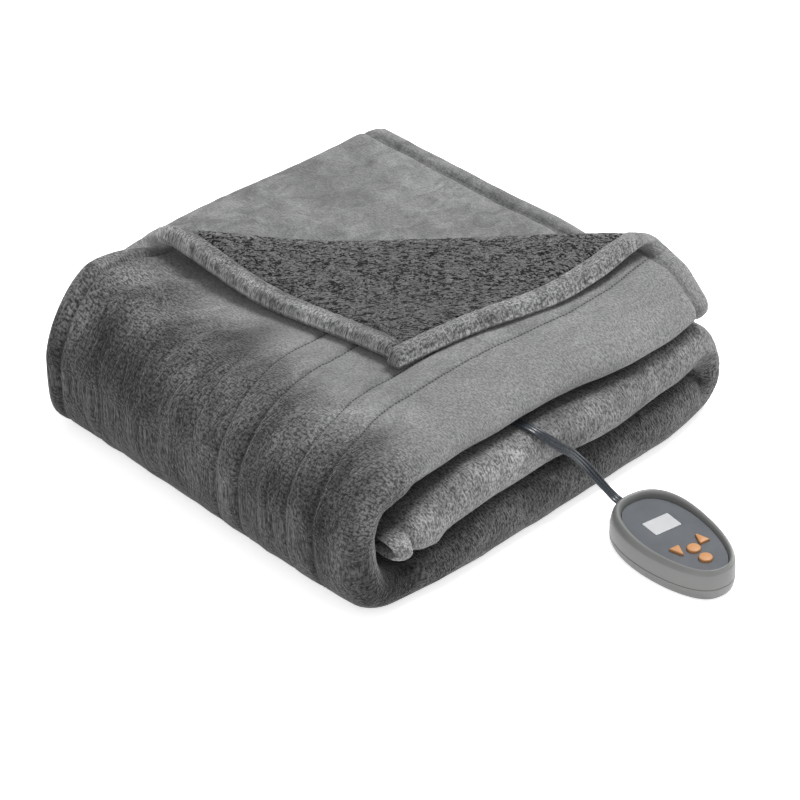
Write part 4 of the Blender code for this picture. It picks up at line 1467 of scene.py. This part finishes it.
# lower half: (inset, height)
TUB = ((6.5, 0.0), (5.0, 0.3), (3.0, 1.5), (1.6, 3.0), (0.6, 5.0), (0.0, 7.0), (-0.4, 9.0), (-0.6, 11.0),
       (-0.6, PARTING - FIT - 0.35), (-0.25, PARTING - FIT))
# upper half, from the parting line over the rim and down into the recess: (inset, height)
RIM = ((-0.25, PARTING), (-0.6, PARTING + 0.35), (-0.5, 16.5), (-0.3, 20.0), (0.5, 27.0), (1.8, 32.0),
       (3.6, 35.0), (5.4, BODY_HEIGHT), (7.2, 35.0), (8.5, 32.0), (9.2, PANEL_FLOOR))

for name, table, node_name in (("lower_shell", TUB, "controller_base"),
                               ("upper_shell", RIM, "controller_bezel")):
    profile = smooth_route([Vector((*row, 0)) for row in table], RING_EVERY)
    lofted(name, [oval(spot.x, spot.y) for spot in profile], shell_look, "throw", node_name)
    print(name, "has", len(profile), "rings")
for place in frame["nodes"]["controller_panel"].material_slots:
    place.material = panel_look

# %% [markdown]
# ## Buttons and display
#
# A moulded button is a flat shape with a round edge and a slightly crowned top.  Its outline
# is a few corners with an arc round each one.  A smaller arc gives the same outline drawn in,
# so the round edge is a stack of such outlines.

# %% Plates with round edges
ARC_STEPS = 10
EDGE_STEPS = 5
# rings of the crown, as shares of the plate's rim
CROWN_SHARES = (0.8, 0.55, 0.3, 0.1)


def arc(middle, radius, start, step, count):
    """Points round a middle, from the start angle on in equal steps."""
    return [(middle[0] + radius * cos(start + step * k), middle[1] + radius * sin(start + step * k))
            for k in range(count)]


def round_outline(corners, radius):
    """Closed outline round corners in order, an arc at each, or a circle round a single one."""
    if len(corners) == 1:
        return arc(corners[0], radius, 0.0, pi / 2 / ARC_STEPS, 4 * ARC_STEPS)
    outline = []
    for before, here, after in zip(corners[-1:] + corners, corners, corners[1:] + corners[:1]):
        before, here, after = Vector(before), Vector(here), Vector(after)
        start = (here - before).angle_signed(Vector((1, 0))) - pi / 2
        sweep = (after - here).angle_signed(here - before) % (2 * pi)
        outline += arc(here, radius, start, sweep / ARC_STEPS, ARC_STEPS + 1)
    return outline


def plate(corners, radius, low, high, edge, crown):
    """Rings of a plate between two heights with a round upper edge and a crowned top."""
    rings = [[(x, y, low) for x, y in round_outline(corners, radius)]]
    for k in range(EDGE_STEPS + 1):
        turn = pi / 2 * k / EDGE_STEPS
        outline = round_outline(corners, radius - edge * (1 - cos(turn)))
        rings.append([(x, y, high - edge * (1 - sin(turn))) for x, y in outline])
    middle_x, middle_y = (sum(values) / len(corners) for values in zip(*corners))
    for share in CROWN_SHARES:
        rings.append([(middle_x + (x - middle_x) * share, middle_y + (y - middle_y) * share,
                       high + crown * (1 - share ** 2)) for x, y in outline])
    return rings


print("a round button's ring has", len(round_outline([(0, 0)], 1)), "points")

# %% Buttons
# button: (place along the controller, place across it, turn of an arrow, or None if round)
BUTTONS = {
    "button_down": (20.2, -14.2, -90.0),
    "button_up": (20.2, 14.2, 90.0),
    "button_middle": (26.6, 0.0, None),
    "button_power": (43.7, 0.0, None),
}
BUTTON_TRAVEL = 0.8
BUTTON_RISE = 2.2
BUTTON_ROUND = 13.0
BUTTON_CROWN = 0.5
BUTTON_EDGE = 1.4
EDGE_SHARE = 0.9
ARROW_BASE = 11.5
ARROW_HEIGHT = 14.5
ARROW_ROUND = 1.2
# share of the corners' length past their arcs that is left off
ARROW_TAKE_UP = 0.85
PANEL_THICK = 3.4
PANEL_TOP = PANEL_FLOOR + FIT + PANEL_THICK


def arrow(x, y, degrees):
    """Corners of an arrow's triangle, drawn in so that the arcs round them give its size."""
    turn = Matrix.Rotation(radians(degrees), 2)
    tall = ARROW_HEIGHT - 3 * ARROW_ROUND
    wide = ARROW_BASE - 2 * sqrt(3) * ARROW_ROUND * ARROW_TAKE_UP
    return [Vector((x, y)) + turn @ Vector(corner)
            for corner in ((0, tall * 2 / 3), (-wide / 2, -tall / 3), (wide / 2, -tall / 3))]


for name, (x, y, degrees) in BUTTONS.items():
    is_round = degrees is None
    corners, radius = ([(x, y)], BUTTON_ROUND / 2) if is_round else (arrow(x, y, degrees), ARROW_ROUND)
    rings = plate(corners, radius, PANEL_FLOOR + BUTTON_TRAVEL + 2 * FIT, PANEL_TOP + BUTTON_RISE,
                  min(radius * EDGE_SHARE, BUTTON_EDGE), BUTTON_CROWN)
    lofted(name + "_cap", rings, button_look, name + "_key", name)
print("buttons:", len(BUTTONS))

# %% Display
DISPLAY_X = -19.8
DISPLAY_LONG = 29.6
DISPLAY_SHORT = 21.2
DISPLAY_ROUND = 1.0
DISPLAY_RISE = 0.1
DISPLAY_EDGE = 0.4

half_x, half_y = DISPLAY_SHORT / 2 - DISPLAY_ROUND, DISPLAY_LONG / 2 - DISPLAY_ROUND
corners = [(DISPLAY_X + x * half_x, y * half_y) for x, y in ((1, 1), (-1, 1), (-1, -1), (1, -1))]
rings = plate(corners, DISPLAY_ROUND, PANEL_FLOOR + FIT, PANEL_TOP + DISPLAY_RISE, DISPLAY_EDGE, 0.0)
lofted("display_glass", rings, display_look, "throw", "display_window")
print("display:", DISPLAY_LONG, "x", DISPLAY_SHORT, "mm")

# %% [markdown]
# ## The strain relief
#
# Where the cord goes into the shell, a short rubber sleeve keeps it from kinking.  It is
# flat as the cord is, it tapers towards it, and it is ribbed so that it can bend.

# %% Strain relief
SLEEVE_POINTS = 40
SLEEVE_SQUARE = 0.5
SLEEVE_LEVEL = 18.5
# rings outwards from the shell: (how far out, width, height)
SLEEVE = ((0.6, 13.6, 7.4), (1.4, 13.6, 7.4), (1.7, 13.2, 7.0), (2.0, 12.2, 6.0), (2.5, 12.2, 6.0),
          (2.8, 12.6, 6.4), (3.8, 12.3, 6.0), (4.1, 11.4, 5.1), (4.6, 11.4, 5.0), (4.9, 11.6, 5.2),
          (5.5, 11.2, 4.8))


def sleeve_ring(out, wide, tall):
    """Section of the sleeve, out from the shell's blunt end."""
    section = [squared(2 * pi * i / SLEEVE_POINTS, SLEEVE_SQUARE) for i in range(SLEEVE_POINTS)]
    return [(-BODY_LENGTH / 2 - out, -side * wide / 2, SLEEVE_LEVEL + up * tall / 2) for side, up in section]


sleeve = lofted("strain_relief", [sleeve_ring(*row) for row in SLEEVE], cord_look,
                "throw", "cord_grommet")
print("strain relief:", SLEEVE[-1][0] - SLEEVE[0][0], "mm long")

# %% [markdown]
# ## The cord's ends
#
# The cord leaves the gap between two layers, and its other end goes into the controller.
# Its real length is that of its route, because both ends go into something.

# %% [markdown]
# ## Floor and light
#
# A white floor and a bright even sky give the plain look of a catalogue page.  One large
# soft light from the upper left shapes the folds, and a weaker one opens the shadows.

# %% Floor and sky
FLOOR_HALF = 6
FLOOR_Z = -0.0005
FLOOR_WHITE = (0.93, 0.93, 0.93)
SKY_STRENGTH = 0.62
WHITE = (1, 1, 1, 1)

corners = [(x * FLOOR_HALF, y * FLOOR_HALF, FLOOR_Z) for x, y in ((-1, -1), (1, -1), (1, 1), (-1, 1))]
floor_mesh = bpy.data.meshes.new("floor")
floor_mesh.from_pydata(corners, [], [(0, 1, 2, 3)])
floor_look = new_look("white floor", FLOOR_WHITE, 0.9)
floor_shader = floor_look.node_tree.nodes["Principled BSDF"]
floor_shader.inputs["Emission Color"].default_value = WHITE
floor_shader.inputs["Emission Strength"].default_value = SKY_STRENGTH
floor_mesh.materials.append(floor_look)
floor = bpy.data.objects.new("floor", floor_mesh)
scene.collection.objects.link(floor)

world = bpy.data.worlds.new("studio")
world.use_nodes = True
sky = world.node_tree.nodes["Background"]
sky.inputs["Color"].default_value = WHITE
sky.inputs["Strength"].default_value = SKY_STRENGTH
scene.world = world
scene.view_settings.view_transform = "Standard"
print("floor and sky set")

# %% Lamps
# lamp: (place, size in metres, power in watts)
LAMPS = {"key": ((1.1, -0.35, 2.4), 0.8, 78), "fill": ((-1.9, -1.2, 1.5), 1.6, 10)}
LAMPS_AIM = Vector((0, 0, 0.05))

for name, (place, size, power) in LAMPS.items():
    lamp = bpy.data.lights.new(name, "AREA")
    lamp.shape = "SQUARE"
    lamp.size = size
    lamp.energy = power
    made = bpy.data.objects.new(name, lamp)
    made.location = place
    made.rotation_euler = (LAMPS_AIM - Vector(place)).to_track_quat("-Z", "Y").to_euler()
    scene.collection.objects.link(made)
print("lamps:", ", ".join(LAMPS))
